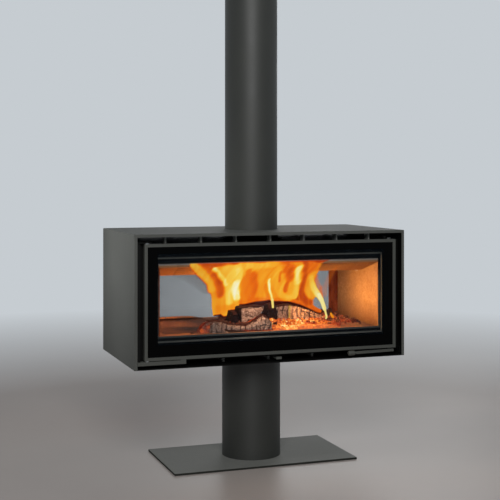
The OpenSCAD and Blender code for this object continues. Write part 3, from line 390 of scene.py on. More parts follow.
def lattice(corners, seed):
    """A fixed number from -1 to 1 for each whole-number corner: the fraction of a large sine of its place."""
    wave = np.sin(corners @ np.array([127.1, 311.7, 74.7]) + 53.3 * seed) * 43758.5453
    return 2 * (wave - np.floor(wave)) - 1


def noise(points, cell, seed):
    """Smooth noise from -1 to 1: a point blends its cell's corner numbers by 3t^2 - 2t^3 along each axis."""
    scaled = np.asarray(points, float) / cell
    base = np.floor(scaled)
    t = scaled - base
    t = t * t * (3 - 2 * t)
    total = np.zeros(scaled.shape[:-1])
    for corner in itertools.product((0, 1), repeat=3):
        weight = np.prod(np.where(np.array(corner) == 1, t, 1 - t), axis=-1)
        total += weight * lattice(base + np.array(corner), seed)
    return total


def rough_noise(points, cell, seed):
    """A sum of three noises, each with half the cell and half the height of the one before."""
    return sum(noise(points, cell / 2**k, seed + k) / 2**k for k in range(3))


def border_gap(points, cell, seed):
    """How far each point lies from the border of its cell, as a share of a cell.

    Each box of side cell holds one random centre. The gap is the distance to the second nearest centre less
    that to the nearest, so it is 0 on the borders, where charring wood and drying ash crack.
    """
    scaled = points / cell
    base = np.floor(scaled)
    nearest = np.full(scaled.shape[:-1], np.inf)
    second = nearest.copy()
    for step in itertools.product((-1, 0, 1), repeat=3):
        corner = base + np.array(step)
        centre = corner + 0.5 + 0.4 * np.stack([lattice(corner, seed + k) for k in range(3)], axis=-1)
        distance = np.linalg.norm(scaled - centre, axis=-1)
        second = np.minimum(second, np.maximum(nearest, distance))
        nearest = np.minimum(nearest, distance)
    return second - nearest


def smooth_step(low, high, value):
    """0 below low, 1 above high, and the curve 3t^2 - 2t^3 between them."""
    t = np.clip((value - low) / (high - low), 0, 1)
    return t * t * (3 - 2 * t)


def flat_points(x, y):
    """Points of the plane z = 0, for noise that only x and y change."""
    return np.stack([x, y, np.zeros_like(x)], axis=-1)


def grid_mesh(name, points, ring=False, values=None, weld=True):
    """A smooth mesh through an array of points in rows and columns.

    Each quad joins four neighbours, and ring also joins a row's last point to its first. values holds named
    numbers, one per point. With weld, points in one place, as at a pole, become one and faces point outwards.
    """
    rows, columns = points.shape[:2]
    across = np.arange(columns if ring else columns - 1)
    here = (np.arange(rows - 1)[:, None] * columns + across).ravel()
    beside = (np.arange(rows - 1)[:, None] * columns + (across + 1) % columns).ravel()
    mesh = bpy.data.meshes.new(name)
    quads = np.stack([here, beside, beside + columns, here + columns], axis=1)
    mesh.from_pydata(points.reshape(-1, 3), [], quads)
    for key, value in (values or {}).items():
        attribute = mesh.attributes.new(key, "FLOAT", "POINT")
        spread = np.broadcast_to(value, (rows, columns)).astype(np.float32)
        attribute.data.foreach_set("value", spread.ravel())
    if weld:
        shell = bmesh.new()
        shell.from_mesh(mesh)
        bmesh.ops.remove_doubles(shell, verts=shell.verts, dist=SAME_PLACE)
        bmesh.ops.dissolve_degenerate(shell, edges=shell.edges, dist=SAME_PLACE / 10)
        bmesh.ops.recalc_face_normals(shell, faces=shell.faces)
        shell.to_mesh(mesh)
        shell.free()
    mesh.shade_smooth()
    return mesh


def new_piece(name, mesh, finish, body, slot, *replaced):
    """Links a mesh as a piece that rides on a body and stands for the CAD nodes that it replaces."""
    piece = bpy.data.objects.new(name, mesh)
    bpy.context.scene.collection.objects.link(piece)
    mesh.materials.clear()
    mesh.materials.append(finish)
    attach(piece, body)
    if replaced:
        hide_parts(*replaced)
    return piece


def keep_creases(piece):
    """Smooth shading that stays crisp at edges of more than 35 degrees, with flat faces shaded flat."""
    piece.data.shade_smooth()
    piece.data.set_sharp_from_angle(angle=math.radians(35))
    weighted = piece.modifiers.new("flat_faces_lead", "WEIGHTED_NORMAL")
    weighted.keep_sharp = True


# Sheet steel, tubes and boards


def softened_copy(node, radius, shortest):
    """A copy of a CAD node whose long sharp edges are rounded, as a press, a saw or a mould leaves them.

    The copy's doubled points are merged and its flat faces joined. Then each edge is rounded whose faces meet
    at more than 40 degrees and that is at least shortest long, so small holes keep their edges.
    """
    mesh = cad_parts[node].data.copy()
    shell = bmesh.new()
    shell.from_mesh(mesh)
    bmesh.ops.remove_doubles(shell, verts=shell.verts, dist=SAME_PLACE)
    bmesh.ops.dissolve_limit(shell, angle_limit=math.radians(1), verts=shell.verts, edges=shell.edges)
    shared = [edge for edge in shell.edges if len(edge.link_faces) == 2 and edge.calc_length() >= shortest]
    sharp = [edge for edge in shared if edge.calc_face_angle(0) > math.radians(40)]
    bmesh.ops.bevel(shell, geom=sharp, offset=radius, segments=3, profile=0.5, affect="EDGES",
                    clamp_overlap=True)
    bmesh.ops.triangulate(shell, faces=[face for face in shell.faces if len(face.verts) > 4])
    shell.to_mesh(mesh)
    shell.free()
    return mesh


def soften(node, body, slot, radius, shortest=20 * MM):
    """Puts a softened copy in a CAD node's place, in the node's own finish."""
    mesh = softened_copy(node, radius, shortest)
    keep_creases(new_piece(node + "_edged", mesh, FINISH_OF[node], body, slot, node))


def soften_sheet_metal():
    """Rounds the edges of the folded, sawn and cast pieces that show."""
    soften("base_plate", "stove", "pedestal_paint", 1.0 * MM, 60 * MM)
    soften("casing_wrap", "stove", "casing_paint", 0.8 * MM, 120 * MM)
    soften("casing_floor", "stove", "casing_paint", 0.5 * MM, 60 * MM)
    soften("top_fins", "stove", "black_paint", 0.5 * MM)
    soften("bottom_fins", "stove", "black_paint", 0.5 * MM)
    soften("grate", "stove", "grey_iron", 1.0 * MM)
    soften("lining_clips", "stove", "inner_steel", 0.4 * MM, 5 * MM)
    for board in ["left_side_board", "right_side_board", "centre_baffle", "floor_bricks"]:
        soften(board, "stove", "vermiculite", 1.5 * MM)
    for side in SIDES:
        soften(side + "_deflector", "stove", "vermiculite", 5 * MM)
        soften(side + "_face_frame", "stove", "black_paint", 0.6 * MM, 60 * MM)
        soften(side + "_hinge_bar", "stove", "black_paint", 0.6 * MM, 7 * MM)
        soften(side + "_door_frame", side + "_door", "door_paint", 0.8 * MM, 60 * MM)
        soften(side + "_inner_frame", side + "_door", "black_paint", 0.4 * MM, 60 * MM)
        soften(side + "_latch_lever", side + "_latch", "door_paint", 0.8 * MM, 7 * MM)


def bend(corner, start, end):
    """Five points of a rounded corner: the curve (1-t)^2 start + 2t(1-t) corner + t^2 end, t from 0 to 1."""
    t = np.linspace(0, 1, 5)[:, None]
    corner, start, end = (np.array(point, float) for point in (corner, start, end))
    return ((1 - t) ** 2 * start + 2 * t * (1 - t) * corner + t**2 * end).tolist()


def turned_piece(name, outline, slot, node):
    """A shape turned about Z that replaces a CAD node, in its finish.

    Each (radius, height) of a closed outline runs full circle: x = radius cos(a), y = radius sin(a).
    """
    angle = np.linspace(0, 2 * math.pi, 160, endpoint=False)
    radius, height = np.array([*outline, outline[0]]).T
    x = np.outer(radius, np.cos(angle))
    y = np.outer(radius, np.sin(angle))
    mesh = grid_mesh(name, np.stack([x, y, height[:, None] + 0 * x], axis=-1), ring=True)
    keep_creases(new_piece(name, mesh, FINISH_OF[node], "stove", slot, node))


def flue_pipe():
    """The flue pipe: a rolled tube with eased ends, widened at its top to a socket for the next length."""
    low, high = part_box("flue_pipe")
    socket_r = high.x
    pipe_r = socket_r - PIPE_WALL - PIPE_PLAY
    neck = high.z - SOCKET_LEN
    foot = neck - SWAGE_LEN
    bore_r = socket_r - PIPE_WALL
    ease = 0.7 * MM
    out, up = SWAGE_EASE
    outline = [
        *bend((pipe_r, low.z), (pipe_r - ease, low.z), (pipe_r, low.z + ease)),
        *bend((pipe_r, foot), (pipe_r, foot - SWAGE_BEND), (pipe_r + out, foot + up)),
        *bend((socket_r, neck), (socket_r - out, neck - up), (socket_r, neck + SWAGE_BEND)),
        *bend((socket_r, high.z), (socket_r, high.z - ease), (socket_r - ease, high.z)),
        *bend((bore_r, high.z), (bore_r + ease, high.z), (bore_r, high.z - ease)),
        (bore_r, neck),
        (pipe_r - PIPE_WALL, foot),
        (pipe_r - PIPE_WALL, low.z),
    ]
    turned_piece("rolled_flue_pipe", outline, "casing_paint", "flue_pipe")


def column():
    """The pedestal column: a rolled tube with eased ends between the base plate and the casing."""
    low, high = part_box("pedestal_column")
    outer = high.x
    ease = 0.8 * MM
    outline = [
        *bend((outer, low.z), (outer - ease, low.z), (outer, low.z + ease)),
        *bend((outer, high.z), (outer, high.z - ease), (outer - ease, high.z)),
        (outer - COLUMN_WALL, high.z),
        (outer - COLUMN_WALL, low.z),
    ]
    turned_piece("rolled_column", outline, "pedestal_paint", "pedestal_column")


def walk_evenly(corners, count):
    """A closed line of corners in count even steps: the places, how far along each is, and the length."""
    closed = np.array([*corners, corners[0]], float)
    travel = np.concatenate([[0], np.cumsum(np.linalg.norm(np.diff(closed, axis=0), axis=1))])
    steps = np.linspace(0, travel[-1], count, endpoint=False)
    return np.stack([np.interp(steps, travel, values) for values in closed.T], axis=-1), steps, travel[-1]


def sides_of(line):
    """Which way each point of a closed line faces out, and the length of its step.

    The step is half of the way from the last point to the next one, and out is its right-hand side.
    """
    forth = (np.roll(line, -1, axis=0) - np.roll(line, 1, axis=0)) / 2
    step = np.linalg.norm(forth, axis=1)
    return np.stack([forth[:, 1], -forth[:, 0]], axis=-1) / step[:, None], step


def rope_route(half_x, half_z):
    """The corners of the rope's middle line: a rectangle whose corners are quarter circles of ROPE_CORNER."""
    quarter = np.linspace(0, math.pi / 2, 12)
    route = []
    for index, (sx, sz) in enumerate([(1, 1), (-1, 1), (-1, -1), (1, -1)]):
        angle = quarter + index * math.pi / 2
        arc = np.stack([np.cos(angle), np.sin(angle)], axis=1) * ROPE_CORNER
        route.append(arc + [sx * (half_x - ROPE_CORNER), sz * (half_z - ROPE_CORNER)])
    return np.concatenate(route)


def rope_seals():
    """The knitted rope round each door's inner frame, in its channel.

    A section whose width and depth go as |cos a|^0.7 and |sin a|^0.7 runs round its route. It swells by the
    larger of two waves, cos(4a + ks) and cos(4a - ks), which wind round it both ways as the knit's ribs do.
    """
    low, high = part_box("front_rope_seal")
    half_deep = (high.y - low.y) / 2
    middle = np.array((0, (low.y + high.y) / 2, (low.z + high.z) / 2))
    corners = rope_route(high.x - ROPE_HALF, (high.z - low.z) / 2 - ROPE_HALF)
    route, places, length = walk_evenly(corners, 1000)
    outward, _ = sides_of(route)
    angle = np.linspace(0, 2 * math.pi, 28, endpoint=False)
    winding = 2 * math.pi * round(length / KNIT_PITCH) / length * places[:, None]
    ribs = np.maximum(np.cos(4 * angle + winding), np.cos(4 * angle - winding))
    swell = 1 - RIB + RIB * ribs
    across = swell * ROPE_HALF * np.sign(np.cos(angle)) * np.abs(np.cos(angle)) ** 0.7
    deep = swell * half_deep * np.sign(np.sin(angle)) * np.abs(np.sin(angle)) ** 0.7
    sideways = route[:, :1] + across * outward[:, :1]
    upwards = route[:, 1:] + across * outward[:, 1:]
    points = np.stack([sideways, deep, upwards], axis=-1) + middle
    points = np.concatenate([points, points[:1]])
    for side in SIDES:
        mesh = grid_mesh(side + "_knitted_rope", points, ring=True)
        if side == "rear":
            mesh.transform(HALF_TURN)
        node = side + "_rope_seal"
        new_piece(side + "_knitted_rope", mesh, FINISH_OF[node], side + "_door", "seal_rope", node)


# Fire load

RING_STEP = 17 * MM  # between the cracks that run round a log
SPLIT_STEP = 34 * MM  # between the cracks that run along it
CRACK = 1.5 * MM  # half the width of a crack
CRACK_DEPTH = 4 * MM
PLATE_EASE = (4 * MM, 1.2 * MM)  # how wide and how deep the edges of the charred plates are rounded
FINE_CELL = np.array([13, 13, 7]) * MM  # of the shallow cracks on the plates
FINE_DEPTH = 0.5 * MM
CHECK_CELL = 26 * MM  # between the drying checks of the sawn ends
EASE_ROWS = 12  # on either side of a row, over which the burnt top is smoothed


def rounded_outline(corners, count):
    """A closed outline walked in count even steps, each point averaged with seven neighbours on each side."""
    reach = 7
    window = np.hanning(2 * reach + 3)[1:-1]
    window /= window.sum()
    rounded = []
    for even in walk_evenly(corners, count)[0].T:
        wrapped = np.concatenate([even[-reach:], even, even[:reach]])
        rounded.append(np.convolve(wrapped, window, "valid"))
    return np.stack(rounded, axis=-1)


def log_surface(size, section, tops):
    """A log before it chars: its points, which way they face, how far round each is, and its ring's share.

    Points and ways are given across, up and along the log. The section, lowered to the share of its height
    that tops gives there, is carried along the length. At both ends, rings that shrink towards a point inside
    close it, and a ring's share says how wide it still is.
    """
    length, width, tall = size
    rows, columns, rings = 250, 200, 30
    outline = rounded_outline(section, columns) * [width, tall]
    outward, step = sides_of(outline)
    along = np.concatenate([np.zeros(rings), np.linspace(0, 1, rows), np.ones(rings)])[:, None]
    grow = np.linspace(0, 1, rings + 1)[:-1]
    share = np.concatenate([grow, np.ones(rows), grow[::-1]])[:, None]
    on_end = (share < 1) * 1.0
    eased = np.pad(np.interp(along[:, 0], *np.array(tops).T), EASE_ROWS, mode="edge")
    window = np.full(2 * EASE_ROWS + 1, 1 / (2 * EASE_ROWS + 1))
    left = np.convolve(eased, window, "valid")[:, None]
    heart_z = 0.45 * tall * left
    x = outline[:, 0] * share
    z = heart_z + (outline[:, 1] * left - heart_z) * share
    lengthwise = (2 * along - 1) * on_end + 0 * x
    facing = np.stack([outward[:, 0] * (1 - on_end), outward[:, 1] * (1 - on_end), lengthwise], axis=-1)
    return np.stack([x, z, along * length + 0 * x], axis=-1), facing, np.cumsum(step), share


def char_cracks(local, walk, on_end, seed):
    """The cracks of charring on a log, the rounded edges beside them, and the shallow cracks on the plates.

    A crack is exp(-(distance / half width)^2) from the nearest ring round the log or split along it, which
    noise bends and closes here and there. A sawn end has drying checks on the borders of cells instead.
    """
    warped = local + 4 * MM * np.stack([noise(local, 20 * MM, seed + k) for k in range(3)], axis=-1)
    strayed = warped[..., 2] + 7 * MM * noise(local, 40 * MM, seed + 4)
    to_ring = RING_STEP * np.abs(strayed / RING_STEP - np.round(strayed / RING_STEP))
    turns = (walk + warped[..., 0] - local[..., 0]) / SPLIT_STEP
    to_split = SPLIT_STEP * np.abs(turns - np.round(turns))
    rings = smooth_step(-0.5, 0.1, noise(local, 24 * MM, seed + 10)) * np.exp(-((to_ring / CRACK) ** 2))
    splits = smooth_step(-0.05, 0.45, noise(local, 30 * MM, seed + 11)) * np.exp(-((to_split / CRACK) ** 2))
    checks = 0.6 * np.exp(-((border_gap(warped, CHECK_CELL, seed) / 0.04) ** 2))
    fine = np.exp(-((border_gap(warped, FINE_CELL, seed + 9) / 0.10) ** 2))
    edge = np.exp(-to_ring / PLATE_EASE[0]) * (1 - on_end)
    return np.where(on_end > 0, checks, np.maximum(rings, splits)), edge, fine


def split_log(name, spot, size, turn, seed, finish, section, tops, glow_reach=0.0, char=0.0, heat=0.0,
              black_flank=0, node=None):
    """A charred split log: a section carried along a line that is turned about Z, sunk along its cracks.

    spot is the middle of the line and the log's lowest z, and size its length, width and height. section is
    the outline across the log, from -0.5 to 0.5 of its width and from 0 to 1 of its height, and tops gives
    the share of the height that the fire has left at each share of the length. char and heat blacken and
    light the whole log, glow_reach is how far up the embers light it, and black_flank blackens the side that
    its sign names. node is the CAD node that the log stands for.
    """
    local, facing, walk, share = log_surface(size, section, tops)
    on_end = (share < 1) * 1.0
    crack, edge, fine = char_cracks(local, walk, on_end, seed)
    depth = CRACK_DEPTH * crack + PLATE_EASE[1] * edge + FINE_DEPTH * fine
    depth += 0.8 * MM * rough_noise(local, 6 * MM, seed + 5)
    depth += 4 * MM * noise(local, 50 * MM, seed + 6) + 1.6 * MM * noise(local, 20 * MM, seed + 7)
    local = local - facing * depth[..., None]
    turn = math.radians(turn)
    heading = np.array([math.cos(turn), math.sin(turn), 0.0])
    sideways = np.array([-math.sin(turn), math.cos(turn), 0.0])
    points = np.array(spot) + (local[..., 2:] - size[0] / 2) * heading + local[..., :1] * sideways
    points[..., 2] += local[..., 1]
    upwards = facing[..., 1] + 0.25 * noise(local, 12 * MM, seed + 12)
    burnt_top = smooth_step(0.45, 0.8, upwards) * (1 - on_end)
    rim = smooth_step(0.86, 0.97, share + 0.05 * noise(local, 9 * MM, seed + 13)) * on_end
    patches = smooth_step(0.3, 0.75, noise(local, 30 * MM, seed + 8)) * 0.5
    flank = smooth_step(0.3, 0.7, black_flank * facing[..., 0]) * (1 - on_end)
    black = np.maximum.reduce([crack, 0.3 * fine, burnt_top, rim, patches, flank, char + 0 * crack])
    low_down = smooth_step(glow_reach, 0.2 * glow_reach, local[..., 1]) if glow_reach else 0 * crack
    lit = low_down * smooth_step(-0.5, 0.4, noise(local, 16 * MM, seed + 3)) * (0.45 + 0.9 * crack)
    glow = lit + 0.07 * burnt_top + heat * (0.6 + 0.8 * noise(local, 12 * MM, seed + 14))
    values = {"char": np.clip(black, 0, 1), "glow": np.clip(glow, 0, 1)}
    replaced = [node] if node else []
    new_piece(name, grid_mesh(name, points, ring=True, values=values), finish, "stove", "log_wood", *replaced)


def log_in_place(node, turn, sink, forward=0.0, **shape):
    """A split log in a CAD log's box, which gives its size, sunk into the embers and moved forward a little.

    A box turned about Z is length c + width s wide and length s + width c deep, solved here for both.
    """
    low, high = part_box(node)
    box = high - low
    c, s = abs(math.cos(math.radians(turn))), abs(math.sin(math.radians(turn)))
    length = (box.x * c - box.y * s) / (c * c - s * s)
    width = (box.y * c - box.x * s) / (c * c - s * s)
    spot = ((low.x + high.x) / 2, (low.y + high.y) / 2 - forward, low.z - sink)
    split_log(node + "_charred", spot, (length, width, box.z + sink), turn, node=node, **shape)


def charred_wood():
    """Split beech in the fire: pink-grey ashed plates, black cracks between them, and a glow beneath."""
    material, tree, shader, place = new_finish("charred_wood")
    char = add(tree, "Attribute", attribute_name="char")["Fac"]
    heat = add(tree, "Attribute", attribute_name="glow")["Fac"]
    fine = {"Vector": place, "Scale": blobs(2 * MM), "Detail": 4.0, "Roughness": 0.7}
    fibre = add(tree, "TexNoise", fine)[0]
    ash = add(tree, "ValToRGB", [fibre], [(0.30, "#4e3a30"), (0.5, "#a1806f"), (0.70, "#d8c0b1")])[0]
    glows = [(0.0, "#000000"), (0.3, "#7a1e05"), (0.6, "#f0640f"), (1.0, "#ffc24a")]
    feed(shader, {"Base Color": coats(tree, ash, (char, "#170502")), "Roughness": 0.9})
    feed(shader, {"Emission Color": add(tree, "ValToRGB", [heat], glows)[0], "Emission Strength": 0.9})
    feed(shader, {"Normal": add(tree, "Bump", {"Height": fibre, "Distance": 0.8 * MM, "Strength": 0.8})[0]})
    material.cycles.emission_sampling = "NONE"
    return material


# Patches of the ember bed, in metres: the middle and the reach, along x and y, and the powers of the fall
FIRE_PATCH = (0.13, -0.10, 0.19, 0.13, 2, 2)
HOT_PATCH = (0.085, -0.15, 0.055, 0.05, 2, 2)
DIP_PATCH = (-0.10, -0.21, 0.12, 0.035, 4, 4)
BARE_PATCH = (-0.26, -0.07, 0.075, 0.07, 2, 2)
SHADED_PATCH = (-0.09, -0.20, 0.13, 0.05, 6, 4)

BANK_Y = 150 * MM  # the foot of the bank of ash at the rear left
BANK_X = (-0.1, -0.2)  # where the bank starts and where it is whole
MOUND_END = (-0.25, -0.17)  # where the mound of embers starts and where it is whole, across its slanting end
LUMPS = ((2.4, 34, 5), (1.8, 12, 6), (0.9, 5, 7))  # of the bed: height and width in millimetres, and seed
COALS = 620
COAL_PLACE = ([FIRE_PATCH[0], -0.06], [0.17, 0.10])  # the middle and the spread of most coals
COAL_SIZE = (4 * MM, 11 * MM)
COAL_END = -0.22  # across the mound's slanting end, where the coals end


def patch(x, y, middle_x, middle_y, reach_x, reach_y, power_x, power_y):
    """1 in the middle of a patch of the bed, and less as exp(-(dx / reach)^power - (dy / reach)^power)."""
    return np.exp(-(((x - middle_x) / reach_x) ** power_x) - (((y - middle_y) / reach_y) ** power_y))


def past_slant(x, y):
    """How far right a point is of a line through x = 0, y = -0.2 that leans right by 0.4 of the way back."""
    return x - 0.4 * (y + 0.2)


def on_bank(x, y, slope):
    """The share of the bank of ash, which rises over a slope of this length from its foot."""
    return smooth_step(BANK_Y, BANK_Y + slope, y) * smooth_step(*BANK_X, x)


def bed_height(x, y, low, high):
    """Height of the ember bed: a lumpy mound round the logs, a film of ash beside it, a bank at the rear."""
    place = flat_points(x, y)
    to_rim = np.minimum(high.x - np.abs(x), high.y - np.abs(y)) + 4 * MM * noise(place, 20 * MM, 3)
    rim = smooth_step(0.0, 26 * MM, to_rim)
    mound = 0.10 + 0.90 * smooth_step(*MOUND_END, past_slant(x, y) + 20 * MM * noise(place, 50 * MM, 9))
    bank = on_bank(x, y, 25 * MM)
    mound = np.maximum(mound, 0.1 + 0.95 * bank)
    lumps = sum(tall * noise(place, wide * MM, seed) for tall, wide, seed in LUMPS) * (1 - 0.9 * bank)
    return low.z + rim * mound * (1 - 0.8 * patch(x, y, *DIP_PATCH)) * (high.z - low.z - 4 * MM + lumps * MM)


def nearness(x, y):
    """How hot the bed is: a wide patch about the middle of the fire, and a small one before the logs."""
    return 0.85 * patch(x, y, *FIRE_PATCH) + 0.85 * patch(x, y, *HOT_PATCH)


def ember_bed(finish):
    """The bed of ash and embers: a height field over the chamber floor."""
    low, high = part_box("ember_bed")
    x, y = np.meshgrid(np.linspace(low.x, high.x, 330), np.linspace(low.y, high.y, 180))
    z = bed_height(x, y, low, high)
    place = np.stack([x, y, z], axis=-1)
    heat = nearness(x, y) * (0.95 + 0.55 * noise(place, 22 * MM, 43) + 0.35 * noise(place, 7 * MM, 41))
    # A pale coat of ash along the front sill; on the crest of the ash bank the same pale coat is a painted
    # highlight.
    to_sill = high.y - np.abs(y) + 10 * MM * noise(place, 30 * MM, 44)
    film = smooth_step(45 * MM, 25 * MM, to_sill) * (y < 0)
    risen = (z - low.z) / (high.z - low.z)
    bank = on_bank(x, y, 8 * MM)
    film = np.maximum(film, bank * smooth_step(0.50, 0.62, risen))
    # Darker marks: the bare patch at the left, and painted shade on the shaded patch before the front log and
    # on the ash bank's slope.
    soot = np.maximum(patch(x, y, *BARE_PATCH), patch(x, y, *SHADED_PATCH))
    soot = np.maximum(soot, bank * smooth_step(0.12, 0.25, risen) * smooth_step(0.56, 0.46, risen))
    values = {"glow": np.clip(heat, 0, 1), "ash_and_highlight": film, "soot": soot}
    mesh = grid_mesh("ember_bed_top", place, values=values, weld=False)
    new_piece("ember_bed_top", mesh, finish, "stove", "embers", "ember_bed")


def coals(finish):
    """Broken coals on the bed, most of them near the logs.

    Each is a ball of 42 points, pushed about by noise and pulled towards a coarse lattice, which gives it
    flat broken sides. It is scaled and turned about Z at random, and glows less away from the fire.
    """
    low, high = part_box("ember_bed")
    ball = bmesh.new()
    bmesh.ops.create_icosphere(ball, subdivisions=2, radius=1.0)
    shape = np.array([vertex.co for vertex in ball.verts])
    faces = np.array([[vertex.index for vertex in face.verts] for face in ball.faces])
    ball.free()
    dice = np.random.default_rng(17)
    middle, spread = COAL_PLACE
    by_logs = dice.normal(0, 1, (COALS, 2)) * spread + middle
    anywhere = dice.uniform([low.x, low.y], [high.x, high.y], (COALS // 8, 2))
    spots = np.concatenate([by_logs, anywhere])
    on_bed = (np.abs(spots[:, 0]) < high.x - 20 * MM) & (np.abs(spots[:, 1]) < high.y - 12 * MM)
    before_log = (np.abs(spots[:, 0] + 0.10) < 0.125) & (spots[:, 1] < -0.15)
    spots = spots[on_bed & (past_slant(*spots.T) > COAL_END) & ~before_log]
    many = len(spots)
    scale = dice.uniform(*COAL_SIZE, (many, 1, 1)) * dice.uniform(0.6, 1.3, (many, 1, 3))
    rough = shape * (1 + 0.35 * noise(shape + dice.uniform(0, 40, (many, 1, 3)), 0.9, 2))[..., None]
    rough = (0.45 * np.round(rough * 2.2) / 2.2 + 0.55 * rough) * scale
    spin = dice.uniform(0, 2 * math.pi, (many, 1))
    x = rough[..., 0] * np.cos(spin) - rough[..., 1] * np.sin(spin) + spots[:, :1]
    y = rough[..., 0] * np.sin(spin) + rough[..., 1] * np.cos(spin) + spots[:, 1:]
    ground = bed_height(*spots.T, low, high)[:, None] + 0.4 * scale[:, :, 2]
    height = rough[..., 2] / scale[:, :, 2]
    heat = nearness(*spots.T)[:, None] * (0.5 + 0.8 * dice.uniform(0, 1, (many, 1))) * (0.95 - 0.3 * height)
    points = np.stack([x, y, rough[..., 2] + ground], axis=-1)
    mesh = bpy.data.meshes.new("coals")
    all_faces = faces + (np.arange(many) * len(shape))[:, None, None]
    mesh.from_pydata(points.reshape(-1, 3), [], all_faces.reshape(-1, 3))
    attribute = mesh.attributes.new("glow", "FLOAT", "POINT")
    attribute.data.foreach_set("value", np.clip(heat, 0, 1).astype(np.float32).ravel())
    new_piece("coals", mesh, finish, "stove", "embers")


def embers():
    """Glowing charcoal and ash: grey and black where cool, then dull red, orange and nearly white."""
    material, tree, shader, place = new_finish("embers")
    heat = add(tree, "Attribute", attribute_name="glow")["Fac"]
    film = add(tree, "Attribute", attribute_name="ash_and_highlight")["Fac"]
    soot = add(tree, "Attribute", attribute_name="soot")["Fac"]
    fine = {"Vector": place, "Scale": blobs(3 * MM), "Detail": 4.0, "Roughness": 0.7}
    fleck = add(tree, "TexNoise", fine)[0]
    ash = add(tree, "ValToRGB", [fleck], [(0.3, "#1d110c"), (0.5, "#472d20"), (0.75, "#8f6d58")])[0]
    uneven = add(tree, "MapRange", [fleck, 0.35, 0.65, 0.45, 1.3])[0]
    uneven = add(tree, "Math", [heat, uneven], operation="MULTIPLY")[0]
    glows = [(0.0, "#000000"), (0.12, "#2a0702"), (0.35, "#a32a06"), (0.6, "#f26a12"), (0.85, "#ffb640"),
             (1.0, "#ffeaa4")]
    # The pale coat is ash and, on the bank's crest, a painted highlight; the dark coat is painted shade
    # before the front log and on the bank's slope.
    feed(shader, {"Base Color": coats(tree, ash, (film, "#a97b52"), (soot, "#1a0d07")), "Roughness": 0.95})
    feed(shader, {"Emission Color": add(tree, "ValToRGB", [uneven], glows)[0], "Emission Strength": 1.25})
    feed(shader, {"Normal": add(tree, "Bump", {"Height": fleck, "Distance": 1 * MM, "Strength": 0.8})[0]})
    material.cycles.emission_sampling = "NONE"
    return material


# Flames


def line_distance(x, z, line):
    """Least distance from each x, z to a line of straight stretches between its points."""
    best = np.full(x.shape, np.inf)
    for (ax, az), (bx, bz) in zip(line[:-1], line[1:]):
        dx, dz = bx - ax, bz - az
        t = np.clip(((x - ax) * dx + (z - az) * dz) / (dx * dx + dz * dz), 0, 1)
        best = np.minimum(best, np.hypot(x - ax - t * dx, z - az - t * dz))
    return best


def flame_sheet(name, strokes, wide, tall, depth, finish, seed, side=-1, shift=0, narrow=1.0):
    """One sheet of flame, in millimetres, that stands depth before the middle and rolls out under the roof.

    A stroke has the weight cover * exp(-(distance / half width)^3) at a point. The heat there is the mean of
    the strokes' heats by weight, which falls to dark maroon at the flames' foot over the logs: a dark band
    that is painted shade where the logs' tops meet the flames. The sheet is clear where the weights add up to
    little. Noise drawn out upwards bends the strokes and streaks the heat.
    side is -1 for the front's sheets and 1 for the rear's. narrow and shift scale and move a sheet along x.
    """
    columns = round((wide[1] - wide[0]) / FLAME_GRID[0])
    rows = round((tall[1] - tall[0]) / FLAME_GRID[1])
    x, z = np.meshgrid(np.linspace(*wide, columns), np.linspace(*tall, rows))
    drawn_out = flat_points(x, 0.45 * z)
    bent_x = x + 4 * noise(drawn_out, 42, seed) + 2.5 * noise(drawn_out, 14, seed + 1)
    bent_z = z + 4 * noise(drawn_out, 36, seed + 2)
    weight = np.zeros_like(x)
    heat = np.zeros_like(x)
    for line, half_width, stroke_heat, cover in strokes:
        share = cover * np.exp(-((line_distance(bent_x, bent_z, line) / half_width) ** 3))
        weight += share
        heat += share * stroke_heat
    heat /= np.maximum(weight, 1e-6)
    streaks = noise(flat_points(x, 0.16 * z), 9, seed + 5)
    heat = np.clip(heat + 0.045 * streaks * smooth_step(0.1, 0.4, heat), 0, 1)
    to_rim = np.minimum(np.minimum(x - wide[0], wide[1] - x), np.minimum(z - tall[0], tall[1] - z))
    veil = smooth_step(0.10, 0.42, weight) * smooth_step(0, 4, to_rim)
    # Below the heat's foot the sheet stays as a dark maroon band: painted shade where the logs' tops meet the
    # flames.
    if depth < FLAME_OUT / 2:
        foot = np.interp(x, *np.array(FLAME_FOOT).T)
        heat *= smooth_step(foot - 2, foot + 5, bent_z)
        veil *= smooth_step(foot - 24, foot - 16, z)
    roll = np.clip((z - FLAME_BEND_Z) / (FLAME_ROLL_Z - FLAME_BEND_Z), 0, 1) ** 1.5
    ripple = 8 * noise(drawn_out, 55, seed + 7) + 9 * (heat - 0.5)
    reach = depth + (FLAME_OUT - depth) * roll + ripple * (1 - roll)
    points = np.stack([narrow * x + shift, side * reach, z], axis=-1) * MM
    mesh = grid_mesh(name, points, values={"glow": heat, "veil": veil}, weld=False)
    new_piece(name, mesh, finish, "stove", "embers").visible_shadow = False


def burning_gas():
    """Burning wood gas: light with no surface, dull red to orange, yellow and nearly white at its hottest."""
    material, tree, shader, _ = new_finish("burning_gas")
    heat = add(tree, "Attribute", attribute_name="glow")["Fac"]
    veil = add(tree, "Attribute", attribute_name="veil")["Fac"]
    # The ramp's first stop, dark maroon, is the painted shade at the flames' foot; its second, brown, is
    # smoke.
    glows = [(0.0, "#360c04"), (0.05, "#452a1c"), (0.14, "#8a3810"), (0.28, "#be4310"), (0.42, "#ee6c14"),
             (0.56, "#f8921a"), (0.68, "#fcb12c"), (0.82, "#ffd552"), (0.92, "#fff09a"), (1.0, "#fffbe0")]
    feed(shader, {"Base Color": "#000000", "Roughness": 1.0, "Specular IOR Level": 0.0, "Alpha": veil})
    feed(shader, {"Emission Color": add(tree, "ValToRGB", [heat], glows)[0], "Emission Strength": 1.3})
    material.cycles.emission_sampling = "NONE"
    return material


